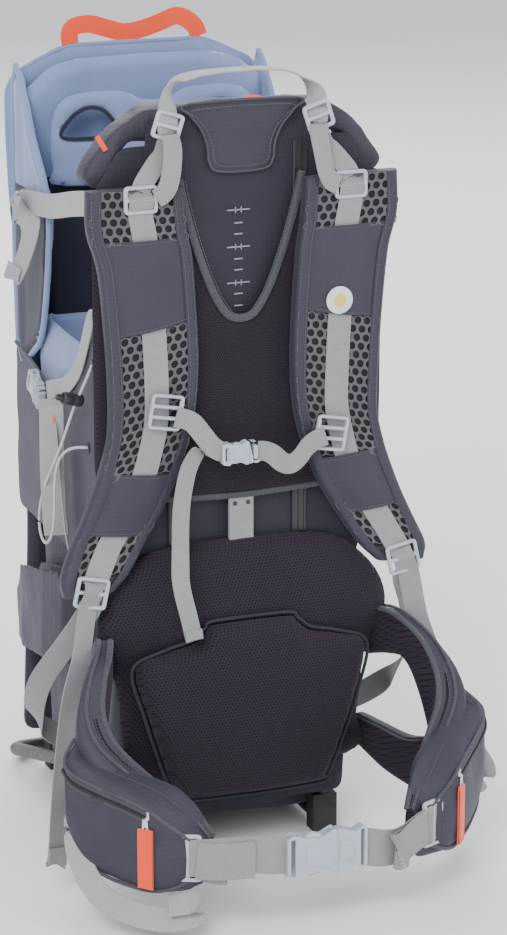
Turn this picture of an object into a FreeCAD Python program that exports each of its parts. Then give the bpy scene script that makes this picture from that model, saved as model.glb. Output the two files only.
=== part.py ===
"""Framed child-carrier backpack: a parametric FreeCAD document.

+Z is up, +X is the wearer's right-hand side seen from the harness, and -Y points to the wearer.
Every outline is laid out from the harness panel, whose face is Y = 0, and each sub-part's
Placement adds panel_y, which centres the carrier's depth on the origin.
"""
import FreeCAD
import Part
import math
import os

Vec = FreeCAD.Vector

# alias, value in millimetres or degrees, meaning
DIMENSIONS = [
    ("panel_y", -54.7, "shift of the harness panel from the centre of the depth"),
    ("tube_radius", 6.0, "aluminium frame tube, outer radius"),
    ("tube_bend", 46.0, "frame tube, centre-line bend radius"),
    ("post_x", 100.0, "frame posts, half spacing"),
    ("front_post_y", 14.0, "front frame plane"),
    ("rear_post_y", 289.0, "rear frame plane"),
    ("front_frame_top", 724.0, "front frame, top bar centre height"),
    ("rear_frame_top", 768.0, "rear frame, top bar centre height"),
    ("rail_height", 9.0, "base rails, centre height"),
    ("foot_width", 26.0, "corner foot, width"),
    ("foot_height", 40.0, "corner foot, height"),
    ("foot_inboard", 12.0, "corner foot, reach past the post towards the rail"),
    ("foot_outboard", 7.4, "corner foot, reach past the post away from the rail"),
    ("socket_radius", 6.1, "corner foot, tube socket radius"),
    ("socket_depth", 12.0, "corner foot, rail socket depth"),
    ("post_foot", 20.0, "height where a post stands in its foot"),
    ("hoop_radius", 7.0, "kickstand tube, outer radius"),
    ("hoop_bend", 30.0, "kickstand tube, centre-line bend radius"),
    ("hoop_x", 141.0, "kickstand arms, half spacing"),
    ("pivot_y", 120.0, "kickstand pivot, depth"),
    ("pivot_z", 70.0, "kickstand pivot, height"),
    ("hoop_y", 335.0, "kickstand foot bar, depth"),
    ("eye_radius", 14.0, "kickstand eye, outer radius"),
    ("eye_width", 12.0, "kickstand eye, width along the pin"),
    ("pin_radius", 4.0, "kickstand pin, radius"),
    ("pin_length", 28.0, "kickstand pin, length"),
    ("running_gap", 0.05, "radial clearance of a running pin"),
    ("sleeve_radius", 9.0, "rubber foot sleeve, outer radius"),
    ("sleeve_length", 60.0, "rubber foot sleeve, length"),
    ("bag_half_width", 122.0, "lower compartment, half width"),
    ("bag_front_y", 28.0, "lower compartment, front face"),
    ("bag_depth", 247.0, "lower compartment, depth"),
    ("bag_bottom", 17.0, "lower compartment, bottom"),
    ("bag_height", 281.0, "lower compartment, height"),
    ("bag_round", 14.0, "lower compartment, edge rounding"),
    ("panel_thickness", 4.0, "harness panel, thickness"),
    ("rear_thickness", 14.0, "rear panel, thickness"),
    ("rear_y", 297.0, "rear panel, inner face"),
    ("side_thickness", 4.0, "side panel, thickness"),
    ("side_x", 134.0, "side panel, inner face"),
    ("wing_thickness", 12.0, "head wing, thickness"),
    ("wing_x", 126.0, "head wing, inner face"),
    ("seat_half_width", 126.0, "child seat, half width"),
    ("seat_front_y", 26.0, "child seat, front face"),
    ("seat_depth", 232.0, "child seat, depth"),
    ("seat_bottom", 432.0, "child seat, underside"),
    ("seat_height", 88.0, "child seat, height of its walls"),
    ("seat_wall", 8.0, "child seat, wall"),
    ("seat_floor", 23.0, "child seat, cushion thickness"),
    ("pommel_width", 60.0, "child seat, pommel width"),
    ("pommel_depth", 70.0, "child seat, pommel depth"),
    ("pommel_height", 45.0, "child seat, pommel height above the cushion"),
    ("back_pad_y", 262.0, "child's back pad, front face"),
    ("back_pad_thickness", 19.0, "child's back pad, thickness"),
    ("bib_y", 234.0, "child's shoulder bib, front face"),
    ("bib_thickness", 9.0, "child's shoulder bib, thickness"),
    ("collar_thickness", 36.0, "padded collar, depth"),
    ("flap_thickness", 4.0, "collar flap, thickness"),
    ("rail_width", 15.0, "back-length rail, width"),
    ("rail_x", 66.0, "back-length rails, half spacing"),
    ("rail_length", 400.0, "back-length rail, length"),
    ("rail_bottom", 332.0, "back-length rail, lower end"),
    ("rail_thickness", 3.0, "back-length rail, thickness"),
    ("yoke_front_y", -11.0, "yoke pad, front face"),
    ("yoke_thickness", 7.0, "yoke pad, thickness"),
    ("strap_thickness", 13.0, "shoulder strap, thickness"),
    ("webbing", 25.0, "harness webbing, width"),
    ("webbing_thickness", 1.4, "harness webbing, thickness"),
    ("sternum_webbing", 20.0, "chest webbing, width"),
    ("grab_webbing", 22.0, "grab handle webbing, width"),
    ("waist_webbing", 38.0, "waist webbing, width"),
    ("waist_webbing_thickness", 2.0, "waist webbing, thickness"),
    ("lock_thickness", 4.0, "ladderlock, thickness"),
    ("lock_bar", 3.6, "ladderlock, bar width"),
    ("lumbar_half_width", 138.0, "upper lumbar pad, half width"),
    ("lumbar_low_half_width", 130.0, "lower lumbar pad, half width"),
    ("badge_radius", 14.0, "round strap badge, radius"),
    ("badge_thickness", 2.0, "round strap badge, thickness"),
    ("buckle_gap", 0.4, "side-release buckle, clearance round the plug"),
    ("cord_radius", 1.5, "draw cord, radius"),
    ("plunger_radius", 3.4, "cord lock button, radius"),
    ("plunger_length", 11.0, "cord lock button, length"),
    ("plunger_travel", 3.0, "cord lock button, travel"),
    ("lock_radius", 6.5, "cord lock barrel, radius"),
    ("lock_length", 22.0, "cord lock barrel, length"),
]

doc = FreeCAD.newDocument("child_carrier")
sheet = doc.addObject("Spreadsheet::Sheet", "dims")
for row, (alias, value, meaning) in enumerate(DIMENSIONS, start=1):
    sheet.set("A%d" % row, meaning)
    sheet.set("B%d" % row, str(value))
    sheet.setAlias("B%d" % row, alias)
doc.recompute()

SUBPARTS = []


def dim(alias):
    """A driving dimension, read from the sheet."""
    return float(sheet.get(alias))


def keep(piece, label):
    """Name a sub-part after its node and put it in the list that is written out."""
    piece.Label = label
    SUBPARTS.append(piece)
    return piece


def place(piece, position=(0, 0, 0), rotation=None):
    """Stand a piece at a position laid out from the harness panel."""
    base = Vec(*position) + Vec(0, dim("panel_y"), 0)
    piece.Placement = FreeCAD.Placement(base, rotation or FreeCAD.Rotation())
    return piece


# ---------------------------------------------------------------- general shapes

def origin_plane(body, role):
    """One of a body's own origin planes."""
    return next(item for item in body.Origin.OriginFeatures if item.Role == role)


def polygon_edges(points):
    """Closed chain of straight edges through 2-D points, in a sketch's own plane."""
    corners = [Vec(u, v, 0) for u, v in points]
    return [Part.LineSegment(a, b) for a, b in zip(corners, corners[1:] + corners[:1])]


def plate_body(name, role, outline, thickness, holes=()):
    """A body padded from an outline, with the thickness bound to the sheet.

    On XZ_Plane the sketch axes are X and Z and the pad grows towards +Y; on YZ_Plane they are
    Y and Z and it grows towards +X; on XY_Plane they are X and Y and it grows towards +Z.
    """
    body = doc.addObject("PartDesign::Body", name)
    sketch = body.newObject("Sketcher::SketchObject", name + "_sketch")
    sketch.AttachmentSupport = [(origin_plane(body, role), "")]
    sketch.MapMode = "FlatFace"
    sketch.addGeometry(polygon_edges(outline), False)
    for hole in holes:
        sketch.addGeometry(polygon_edges(hole), False)
    pad = body.newObject("PartDesign::Pad", name + "_pad")
    pad.Profile = sketch
    pad.setExpression("Length", "dims." + thickness)
    pad.Reversed = role == "XZ_Plane"
    return body


def band_outline(route, thickness):
    """Outline of a thin band that follows a centre line of (u, v) points."""
    points = [Vec(u, v, 0) for u, v in route]
    over, under = [], []
    for index, point in enumerate(points):
        before = points[max(index - 1, 0)]
        after = points[min(index + 1, len(points) - 1)]
        lift = Vec(0, 0, 1).cross(unit(after - before)) * (thickness / 2)
        over.append(((point + lift).x, (point + lift).y))
        under.append(((point - lift).x, (point - lift).y))
    return over + under[::-1]


def box(name, sizes):
    """A block whose length, width and height follow expressions of the sheet."""
    block = doc.addObject("Part::Box", name)
    for side, expression in zip(("Length", "Width", "Height"), sizes):
        block.setExpression(side, expression)
    return block


def cylinder(name, radius, height):
    """A round bar whose radius and height follow expressions of the sheet."""
    bar = doc.addObject("Part::Cylinder", name)
    bar.setExpression("Radius", radius)
    bar.setExpression("Height", height)
    return bar


def cut(name, base, tool):
    """base less tool."""
    result = doc.addObject("Part::Cut", name)
    result.Base = base
    result.Tool = tool
    return result


def fuse(name, pieces):
    """One solid made of touching pieces."""
    result = doc.addObject("Part::MultiFuse", name)
    result.Shapes = pieces
    return result


def mirrored(name, source):
    """The same piece on the other side of the plane X = 0."""
    twin = doc.addObject("Part::Mirroring", name)
    twin.Source = source
    twin.Normal = Vec(1, 0, 0)
    return twin


def group(name, pieces):
    """Separate like pieces that share one node."""
    result = doc.addObject("Part::Compound", name)
    result.Links = pieces
    return result


def both_sides(name, piece):
    """A right-hand piece and its left-hand twin as one node."""
    return keep(group(name, [piece, mirrored(name + "_twin", piece)]), name)


def left_and_right(name, piece):
    """A right-hand piece and its left-hand twin as two nodes."""
    keep(piece, name + "_right")
    keep(mirrored(name + "_left", piece), name + "_left")


def feature(name, shape):
    """A free-form solid, placed after its shape is set."""
    piece = doc.addObject("Part::Feature", name)
    piece.Shape = shape
    return place(piece)


def unit(vector):
    """A copy of a vector, one millimetre long."""
    return Vec(vector).normalize()


def ribbon(name, route, across, width, thickness):
    """A flat strap lofted along a route.

    route holds (x, y, z) points, or (x, y, z, width) where the width changes. across is the
    direction of the width, which is kept square to the route at each point.
    """
    points = [Vec(*station[:3]) for station in route]
    sections = []
    for index, (station, point) in enumerate(zip(route, points)):
        before = points[max(index - 1, 0)]
        after = points[min(index + 1, len(points) - 1)]
        along = unit(after - before)
        side = unit(Vec(*across) - along * along.dot(Vec(*across)))
        half = side * ((station[3] if len(station) > 3 else width) / 2)
        lift = along.cross(side) * (thickness / 2)
        corners = [point - half - lift, point + half - lift, point + half + lift, point - half + lift]
        sections.append(Part.makePolygon(corners + corners[:1]))
    return feature(name, Part.makeLoft(sections, True, True))


def edged_ribbon(name, stations, thickness):
    """A strap lofted between two edges, each station being (outer x, z, inner x, z, y)."""
    sections = []
    for outer_x, outer_z, inner_x, inner_z, depth in stations:
        front = depth - thickness / 2
        back = depth + thickness / 2
        corners = [Vec(inner_x, front, inner_z), Vec(outer_x, front, outer_z),
                   Vec(outer_x, back, outer_z), Vec(inner_x, back, inner_z)]
        sections.append(Part.makePolygon(corners + corners[:1]))
    return feature(name, Part.makeLoft(sections, True, True))


def rounded_path(points, radius):
    """Straight runs joined by tangent arcs. radius gives each corner's arc from its two runs."""
    corners = [Vec(*point) for point in points]
    edges = []
    start = corners[0]
    for before, corner, after in zip(corners, corners[1:], corners[2:]):
        arriving = unit(corner - before)
        leaving = unit(after - corner)
        half_turn = arriving.getAngle(leaving) / 2
        shorter = min((corner - before).Length, (after - corner).Length)
        bend = radius(shorter, half_turn)
        reach = bend * math.tan(half_turn)
        first = corner - arriving * reach
        last = corner + leaving * reach
        inward = unit(leaving - arriving)
        middle = corner + inward * (bend / math.cos(half_turn) - bend)
        edges.append(Part.LineSegment(start, first).toShape())
        edges.append(Part.Arc(first, middle, last).toShape())
        start = last
    edges.append(Part.LineSegment(start, corners[-1]).toShape())
    return Part.Wire(edges)


def tube(name, points, radius, bend):
    """A round bar swept along a rounded path."""
    path = rounded_path(points, bend)
    heading = unit(Vec(*points[1]) - Vec(*points[0]))
    profile = Part.Wire([Part.makeCircle(radius, Vec(*points[0]), heading)])
    return feature(name, path.makePipeShell([profile], True, False))


def common_of_outlines(name, plan, elevation, window=None):
    """The solid that has one outline from above and another, in Y and Z, from the side."""
    height = max(z for _, z in elevation) + 10
    reach = max(x for x, _ in plan) + 10
    from_above = Part.Face(Part.makePolygon([Vec(x, y, 0) for x, y in plan + plan[:1]]))
    from_side = Part.Face(Part.makePolygon([Vec(0, y, z) for y, z in elevation + elevation[:1]]))
    solid = from_above.extrude(Vec(0, 0, height)).common(from_side.extrude(Vec(reach, 0, 0)))
    if window:
        opening = Part.Face(Part.makePolygon([Vec(0, y, z) for y, z in window + window[:1]]))
        solid = solid.cut(opening.extrude(Vec(reach, 0, 0)))
    return feature(name, solid.Solids[0])


# ---------------------------------------------------------------- frame and kickstand

def make_frames():
    """Front and rear inverted-U tubes, base rails and the four corner feet they stand in."""
    post = dim("post_x")
    bottom = dim("post_foot") + 0.2
    bend = dim("tube_bend")
    for name, depth, top in (("frame_front", dim("front_post_y"), dim("front_frame_top")),
                             ("frame_rear", dim("rear_post_y"), dim("rear_frame_top"))):
        corners = [(post, depth, bottom), (post, depth, top), (-post, depth, top), (-post, depth, bottom)]
        keep(tube(name, corners, dim("tube_radius"), lambda shorter, half_turn: bend), name)

    rail = cylinder("base_rail", "dims.tube_radius",
                    "dims.rear_post_y - dims.front_post_y - 0.4")
    place(rail, (post, dim("front_post_y") + 0.2, dim("rail_height")), FreeCAD.Rotation(Vec(1, 0, 0), -90))
    both_sides("base_rails", rail)

    feet = []
    for end, depth, inward in (("front", dim("front_post_y"), 1), ("rear", dim("rear_post_y"), -1)):
        block = box("foot_block_" + end,
                    ("dims.foot_width", "dims.foot_inboard + dims.foot_outboard", "dims.foot_height"))
        nearest = depth - (dim("foot_outboard") if inward > 0 else dim("foot_inboard"))
        place(block, (post - dim("foot_width") / 2, nearest, 0))
        upright = cylinder("foot_socket_" + end, "dims.socket_radius", "dims.foot_height")
        place(upright, (post, depth, dim("post_foot")))
        level = cylinder("foot_rail_socket_" + end, "dims.socket_radius", "dims.socket_depth + 10")
        place(level, (post, depth, dim("rail_height")), FreeCAD.Rotation(Vec(1, 0, 0), -90 * inward))
        foot = cut("foot_" + end, cut("foot_bored_" + end, block, upright), level)
        feet += [foot, mirrored("foot_twin_" + end, foot)]
    keep(group("corner_feet", feet), "corner_feet")


def make_kickstand():
    """Tube hoop that turns on two pins at the sides of the lower compartment."""
    x, y, z = dim("hoop_x"), dim("pivot_y"), dim("pivot_z")
    far_y, low_z = dim("hoop_y"), dim("sleeve_radius")
    bend = dim("hoop_bend")
    slope = math.hypot(far_y - y, z - low_z)
    start = dim("eye_radius") - 2
    arm = (x, y + (far_y - y) * start / slope, z + (low_z - z) * start / slope)
    arm_left = (-arm[0], arm[1], arm[2])
    hoop = tube("hoop_tube", [arm, (x, far_y, low_z), (-x, far_y, low_z), arm_left],
                dim("hoop_radius"), lambda shorter, half_turn: bend)

    turn = FreeCAD.Rotation(Vec(0, 1, 0), 90)
    eye = cylinder("hoop_eye", "dims.eye_radius", "dims.eye_width")
    place(eye, (x - dim("eye_width") / 2, y, z), turn)
    bore = cylinder("hoop_bore", "dims.pin_radius + dims.running_gap", "dims.eye_width + 20")
    place(bore, (x - dim("eye_width") / 2 - 10, y, z), turn)
    eyes = [eye, mirrored("hoop_eye_twin", eye)]
    bores = group("hoop_bores", [bore, mirrored("hoop_bore_twin", bore)])
    keep(cut("kickstand_bored", fuse("kickstand_whole", [hoop] + eyes), bores), "kickstand")

    sleeve = cylinder("sleeve", "dims.sleeve_radius", "dims.sleeve_length")
    place(sleeve, (40, far_y, low_z), turn)
    hollow = cylinder("sleeve_hollow", "dims.hoop_radius + 0.05", "dims.sleeve_length + 20")
    place(hollow, (30, far_y, low_z), turn)
    both_sides("kickstand_feet", cut("sleeve_bored", sleeve, hollow))

    pin = cylinder("pin", "dims.pin_radius", "dims.pin_length")
    place(pin, (dim("bag_half_width"), y, z), turn)
    both_sides("kickstand_pins", pin)


# ---------------------------------------------------------------- bag

def make_bag():
    """Lower compartment, rear panel, side panels, side pockets and head wings."""
    block = box("bag_block", ("dims.bag_half_width * 2", "dims.bag_depth", "dims.bag_height"))
    place(block, (-dim("bag_half_width"), dim("bag_front_y"), dim("bag_bottom")))
    rounded = doc.addObject("Part::Fillet", "bag_rounded")
    rounded.Base = block
    doc.recompute()
    upright = [index for index, edge in enumerate(block.Shape.Edges, start=1)
               if abs(edge.Length - dim("bag_height")) < 0.01]
    rounded.Edges = [(index, dim("bag_round"), dim("bag_round")) for index in upright]
    keep(rounded, "lower_compartment")

    rear_edge = [(132, 42), (128, 143), (124, 256), (122, 390), (123, 477), (128, 543), (137, 629),
                 (140, 700), (140, 745), (130, 762), (77, 787)]
    rear = rear_edge + [(-x, z) for x, z in reversed(rear_edge)]
    keep(place(plate_body("rear_panel", "XZ_Plane", rear, "rear_thickness"), (0, dim("rear_y"), 0)),
         "rear_panel")

    side = [(6, 302), (296, 302), (296, 478), (235, 468), (203, 461), (165, 458), (126, 469), (70, 505),
            (31, 551), (6, 566)]
    both_sides("side_panels", place(plate_body("side_panel", "YZ_Plane", side, "side_thickness"),
                                    (dim("side_x"), 0, 0)))

    wing = [(296, 482), (296, 752), (262, 748), (232, 705), (192, 660), (184, 612), (205, 520), (236, 484)]
    both_sides("head_wings", place(plate_body("head_wing", "YZ_Plane", wing, "wing_thickness"),
                                   (dim("wing_x"), 0, 0)))

    pocket_side = [(112, 176), (286, 152), (294, 200), (258, 246), (190, 262), (134, 274), (112, 240)]
    well_side = [(118, 184), (280, 160), (288, 200), (264, 260), (190, 280), (134, 290), (118, 240)]
    outer = [(124, 112), (146, 124), (154, 170), (154, 240), (144, 286), (124, 294)]
    inner = [(127, 118), (142, 130), (150, 172), (150, 238), (141, 280), (127, 288)]
    shell = common_of_outlines("pocket_shell", outer, pocket_side)
    well = common_of_outlines("pocket_well", inner, well_side)
    both_sides("side_pockets", cut("side_pocket", shell, well))


def make_child_seat():
    """Bucket seat with a pommel, the child's back pad and the bib with two arm holes."""
    half, front, bottom = dim("seat_half_width"), dim("seat_front_y"), dim("seat_bottom")
    wall, floor = dim("seat_wall"), dim("seat_floor")
    shell = box("seat_shell", ("dims.seat_half_width * 2", "dims.seat_depth", "dims.seat_height"))
    place(shell, (-half, front, bottom))
    well = box("seat_well", ("(dims.seat_half_width - dims.seat_wall) * 2",
                             "dims.seat_depth - dims.seat_wall * 2", "dims.seat_height"))
    place(well, (wall - half, front + wall, bottom + floor))
    pommel = box("seat_pommel", ("dims.pommel_width", "dims.pommel_depth", "dims.pommel_height"))
    place(pommel, (-dim("pommel_width") / 2, front + wall, bottom + floor))
    keep(fuse("child_seat", [cut("seat_open", shell, well), pommel]), "child_seat")

    back = [(118, 440), (118, 742), (100, 760), (70, 770)]
    back += [(-x, z) for x, z in reversed(back)]
    keep(place(plate_body("child_back_pad", "XZ_Plane", back, "back_pad_thickness"),
               (0, dim("back_pad_y"), 0)), "child_back_pad")

    bib = [(112, 600), (112, 712), (96, 748), (36, 750), (14, 738)]
    bib += [(-x, z) for x, z in reversed(bib)]
    arm_hole = [(44, 703), (100, 703), (92, 722), (76, 732), (60, 731), (48, 720)]
    other_hole = [(-x, z) for x, z in arm_hole]
    body = plate_body("child_bib", "XZ_Plane", bib, "bib_thickness", [arm_hole, other_hole])
    keep(place(body, (0, dim("bib_y"), 0)), "child_bib")


def make_harness_panel():
    """Panel behind the harness, its back-length rails, padded collar and flap."""
    panel = [(116, 46), (126, 220), (130, 300), (149, 420), (149, 690), (120, 736)]
    panel += [(-x, z) for x, z in reversed(panel)]
    keep(place(plate_body("harness_panel", "XZ_Plane", panel, "panel_thickness")), "harness_panel")

    rail = box("rail_strip", ("dims.rail_width", "dims.rail_thickness", "dims.rail_length"))
    place(rail, (dim("rail_x") - dim("rail_width") / 2, -0.2 - dim("rail_thickness"), dim("rail_bottom")))
    both_sides("back_length_rails", rail)

    collar = [(112, 738), (119, 690), (148, 694), (158, 706), (138, 738), (116, 758), (94, 772)]
    collar += [(-x, z) for x, z in reversed(collar)]
    keep(place(plate_body("top_collar", "XZ_Plane", collar, "collar_thickness"), (0, 4.2, 0)),
         "top_collar")

    flap = [(26, 713), (44, 736), (47, 771)]
    flap += [(-x, z) for x, z in reversed(flap)]
    keep(place(plate_body("collar_flap", "XZ_Plane", flap, "flap_thickness"),
               (0, -0.4 - dim("flap_thickness"), 0)), "collar_flap")


def make_lumbar():
    """Two mesh pads at the wearer's hips, the lower one standing in front of the upper."""
    upper = [(-1.5, 84), (-22, 84), (-24, 225), (-33, 262), (-13, 314), (-1.5, 318)]
    lower = [(-24.5, 74), (-38, 72), (-53, 108), (-55, 200), (-48, 250), (-37, 259), (-27, 222)]
    for name, outline, half in (("upper_lumbar_pad", upper, "lumbar_half_width"),
                                ("lower_lumbar_pad", lower, "lumbar_low_half_width")):
        body = plate_body(name, "YZ_Plane", outline, half)
        body.Group[-1].setExpression("Length", "dims.%s * 2" % half)
        keep(place(body, (-dim(half), 0, 0)), name)


# ---------------------------------------------------------------- hip belt

def make_hip_belt():
    """Padded hip wings with a cut-out near the root, zipped pockets, zips and their pulls."""
    wing_plan = [(141, -4), (147, -58), (183, -100), (146, -140), (100, -198), (109, -208), (158, -152),
                 (204, -104), (165, -52), (160, -4)]
    wing_side = [(-4, 240), (-58, 243), (-100, 196), (-140, 149), (-176, 127), (-208, 104), (-208, 60),
                 (-190, 44), (-150, 46), (-110, 62), (-60, 80), (-4, 97)]
    window = [(-28, 190), (-62, 198), (-80, 158), (-76, 116), (-34, 124)]
    both_sides("hip_wings", common_of_outlines("hip_wing", wing_plan, wing_side, window))

    pocket_plan = [(205.6, -104.4), (222, -112), (216, -123), (165, -184), (147, -196), (141, -174),
                   (159, -153)]
    pocket_side = [(-104, 170), (-123, 162), (-184, 128), (-197, 116), (-199, 52), (-184, 42), (-150, 45),
                   (-122, 66), (-104, 100)]
    both_sides("hip_pockets", common_of_outlines("hip_pocket", pocket_plan, pocket_side))

    outward = unit(Vec(61, -51, 0))
    zip_route = [Vec(214, -125.4, 152) + outward, Vec(166, -182.8, 124) + outward]
    zipper = ribbon("pocket_zip", [tuple(point) for point in zip_route], (0, 0, 1), 6, 1.4)
    both_sides("pocket_zips", zipper)

    face = Vec(163, -186.4, 0) + outward * 3.4
    pull = [tuple(face + Vec(0, 0, height)) for height in (124, 108)]
    tab = [tuple(face + Vec(0, 0, height)) for height in (108, 50)]
    along = (51, 61, 0)
    metal = ribbon("pull_metal", pull, along, 7, 2)
    webbing = ribbon("pull_tab", tab, along, 17, 2.4)
    left_and_right("zip_pull", fuse("zip_pull", [metal, webbing]))


def chamfered(width, height, corner):
    """Outline of a rectangle centred on the origin, its corners cut off."""
    side, top = width / 2, height / 2
    right = [(side - corner, -top), (side, corner - top), (side, top - corner), (side - corner, top)]
    return right + [(-x, z) for x, z in reversed(right)]


def ladderlock(name, width, height, slots):
    """Flat moulded buckle in the XZ plane: an outer frame crossed by level bars."""
    bar = dim("lock_bar")
    side = width / 2 - bar
    pitch = (height - bar) / slots
    openings = []
    for index in range(slots):
        low = bar - height / 2 + index * pitch
        high = low + pitch - bar
        openings.append([(-side, low), (side, low), (side, high), (-side, high)])
    return plate_body(name, "XZ_Plane", chamfered(width, height, 3), "lock_thickness", openings)


def make_ladderlocks():
    """The five pairs of strap adjusters that ride on the pack and on the shoulder straps."""
    width = dim("webbing") + 2 * dim("lock_bar") + 2
    narrow = dim("sternum_webbing") + 2 * dim("lock_bar") + 2
    upper = ladderlock("upper_lock", narrow, 28, 2)
    both_sides("upper_ladderlocks", place(upper, (78, -22, 758), FreeCAD.Rotation(Vec(0, 1, 0), -18)))
    second = ladderlock("second_lock", width, 28, 2)
    place(second, (109, -30.5, 690))
    lower = ladderlock("lower_lock", width, 32, 2)
    place(lower, (166, -38, 303), FreeCAD.Rotation(Vec(0, 1, 0), -12))
    pairs = [second, mirrored("second_lock_twin", second), lower, mirrored("lower_lock_twin", lower)]
    keep(group("strap_ladderlocks", pairs), "strap_ladderlocks")
    side = ladderlock("side_lock", width, 22, 2)
    place(side, (142.8, 262, 628), FreeCAD.Rotation(Vec(0, 0, 1), 90) * FreeCAD.Rotation(Vec(0, 1, 0), 90))
    both_sides("side_ladderlocks", side)
    waist = ladderlock("waist_lock", dim("waist_webbing") + 2 * dim("lock_bar") + 3, 28, 2)
    turn = FreeCAD.Rotation(Vec(0, 0, 1), 25) * FreeCAD.Rotation(Vec(0, 1, 0), 90)
    both_sides("waist_ladderlocks", place(waist, (128, -203.5, 83), turn))


# ---------------------------------------------------------------- shoulder harness

def make_yoke():
    """Mesh yoke, shoulder straps, their webbing, the pull loop and the round badge."""
    arm = [(74, 381), (120, 386), (150, 430), (152, 700), (63, 702), (56, 668), (38, 611), (14, 563)]
    outline = arm + [(-x, z) for x, z in reversed(arm)]
    yoke = plate_body("yoke_pad", "XZ_Plane", outline, "yoke_thickness")
    keep(place(yoke, (0, dim("yoke_front_y"), 0)), "yoke_pad")

    stations = [(160, 700, 64, 698, -18.5), (160, 660, 61, 658, -20), (150, 622, 56, 630, -22),
                (144, 560, 52, 575, -22), (141, 507, 50, 525, -22), (141, 460, 52, 482, -20),
                (147, 430, 58, 448, -19), (155, 405, 70, 412, -18.5), (168, 372, 82, 385, -18),
                (182, 342, 104, 348, -18), (193, 315, 124, 318, -24), (191, 298, 141, 301, -26)]
    left_and_right("shoulder_strap", edged_ribbon("shoulder_strap", stations, dim("strap_thickness")))

    web = [(109, -27.4, 668), (103, -28.7, 640), (100, -30.4, 600), (97, -30.5, 555), (95, -30.5, 510),
           (95, -29.2, 470), (101, -27.8, 438), (110, -27.2, 408), (126, -27, 376), (144, -27, 346),
           (158, -32.6, 320)]
    both_sides("strap_webbings", ribbon("strap_webbing", web, (1, 0, 0), dim("webbing"),
                                        dim("webbing_thickness")))

    loop = [(30, 324), (30, 378), (0, 378), (0, 324)]
    slot = [(25, 329), (25, 372), (5, 372), (5, 329)]
    loop_body = plate_body("pull_loop", "XZ_Plane", [(x - 14, z) for x, z in loop], "flap_thickness",
                           [[(x - 14, z) for x, z in slot]])
    keep(place(loop_body, (0, -10.5, 0)), "pull_loop")

    badge = cylinder("strap_badge", "dims.badge_radius", "dims.badge_thickness")
    place(badge, (94, -31.6, 576), FreeCAD.Rotation(Vec(1, 0, 0), 90))
    keep(badge, "strap_badge")

    tail = [(172, -38, 284), (180, -42, 240), (193, -46, 197), (206, -52, 120), (217, -60, 34)]
    both_sides("strap_tails", ribbon("strap_tail", tail, (1, -0.3, 0.3), 22, dim("webbing_thickness")))

    lifter = [(80, -19.5, 735), (92, -23, 724), (105, -27, 714)]
    both_sides("lifter_straps", ribbon("lifter_strap", lifter, (1, 0, 0.4), dim("sternum_webbing"),
                                       dim("webbing_thickness")))
    anchor = [(166, -33.4, 286), (182, -14, 250), (203, 22, 195), (196, 58, 145), (162, 82, 114),
              (126, 90, 104)]
    both_sides("anchor_straps", ribbon("anchor_strap", anchor, (0.5, -0.2, 0.9), 24,
                                       dim("webbing_thickness")))


def side_release(name, width, height, thickness, reach, base):
    """Side-release buckle along X: a hollow socket and a plug with a tongue and two prongs.

    width is the socket's length, reach the prongs' and base the length of the plug's strap bar.
    """
    gap = dim("buckle_gap")
    body = Part.makeBox(width, thickness, height, Vec(-width, -thickness / 2, -height / 2))
    inner = Part.makeBox(reach + 2, thickness - 4, height - 8,
                         Vec(-reach - 2, 2 - thickness / 2, 4 - height / 2))
    window = Part.makeBox(reach * 0.5, thickness - 4, height + 2,
                          Vec(-reach * 0.8, 2 - thickness / 2, -height / 2 - 1))
    slot = Part.makeBox(4, thickness + 2, height - 8, Vec(3 - width, -thickness / 2 - 1, 4 - height / 2))
    socket = feature(name + "_socket", body.cut(inner).cut(window).cut(slot).Solids[0])

    flat = thickness - 4 - 2 * gap
    bar = Part.makeBox(base, thickness, height, Vec(gap, -thickness / 2, -height / 2))
    bar_slot = Part.makeBox(4, thickness + 2, height - 8,
                            Vec(gap + base - 7, -thickness / 2 - 1, 4 - height / 2))
    plug = bar.cut(bar_slot)
    prong_height = (height - 8 - 2 * gap) / 6
    for level in (-1, 0, 1):
        centre = level * (height / 2 - 4 - gap - prong_height / 2)
        prong = Part.makeBox(reach + 1, flat, prong_height,
                             Vec(-reach, -flat / 2, centre - prong_height / 2))
        plug = plug.fuse(prong)
    return socket, feature(name + "_plug", plug.removeSplitter().Solids[0])


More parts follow.
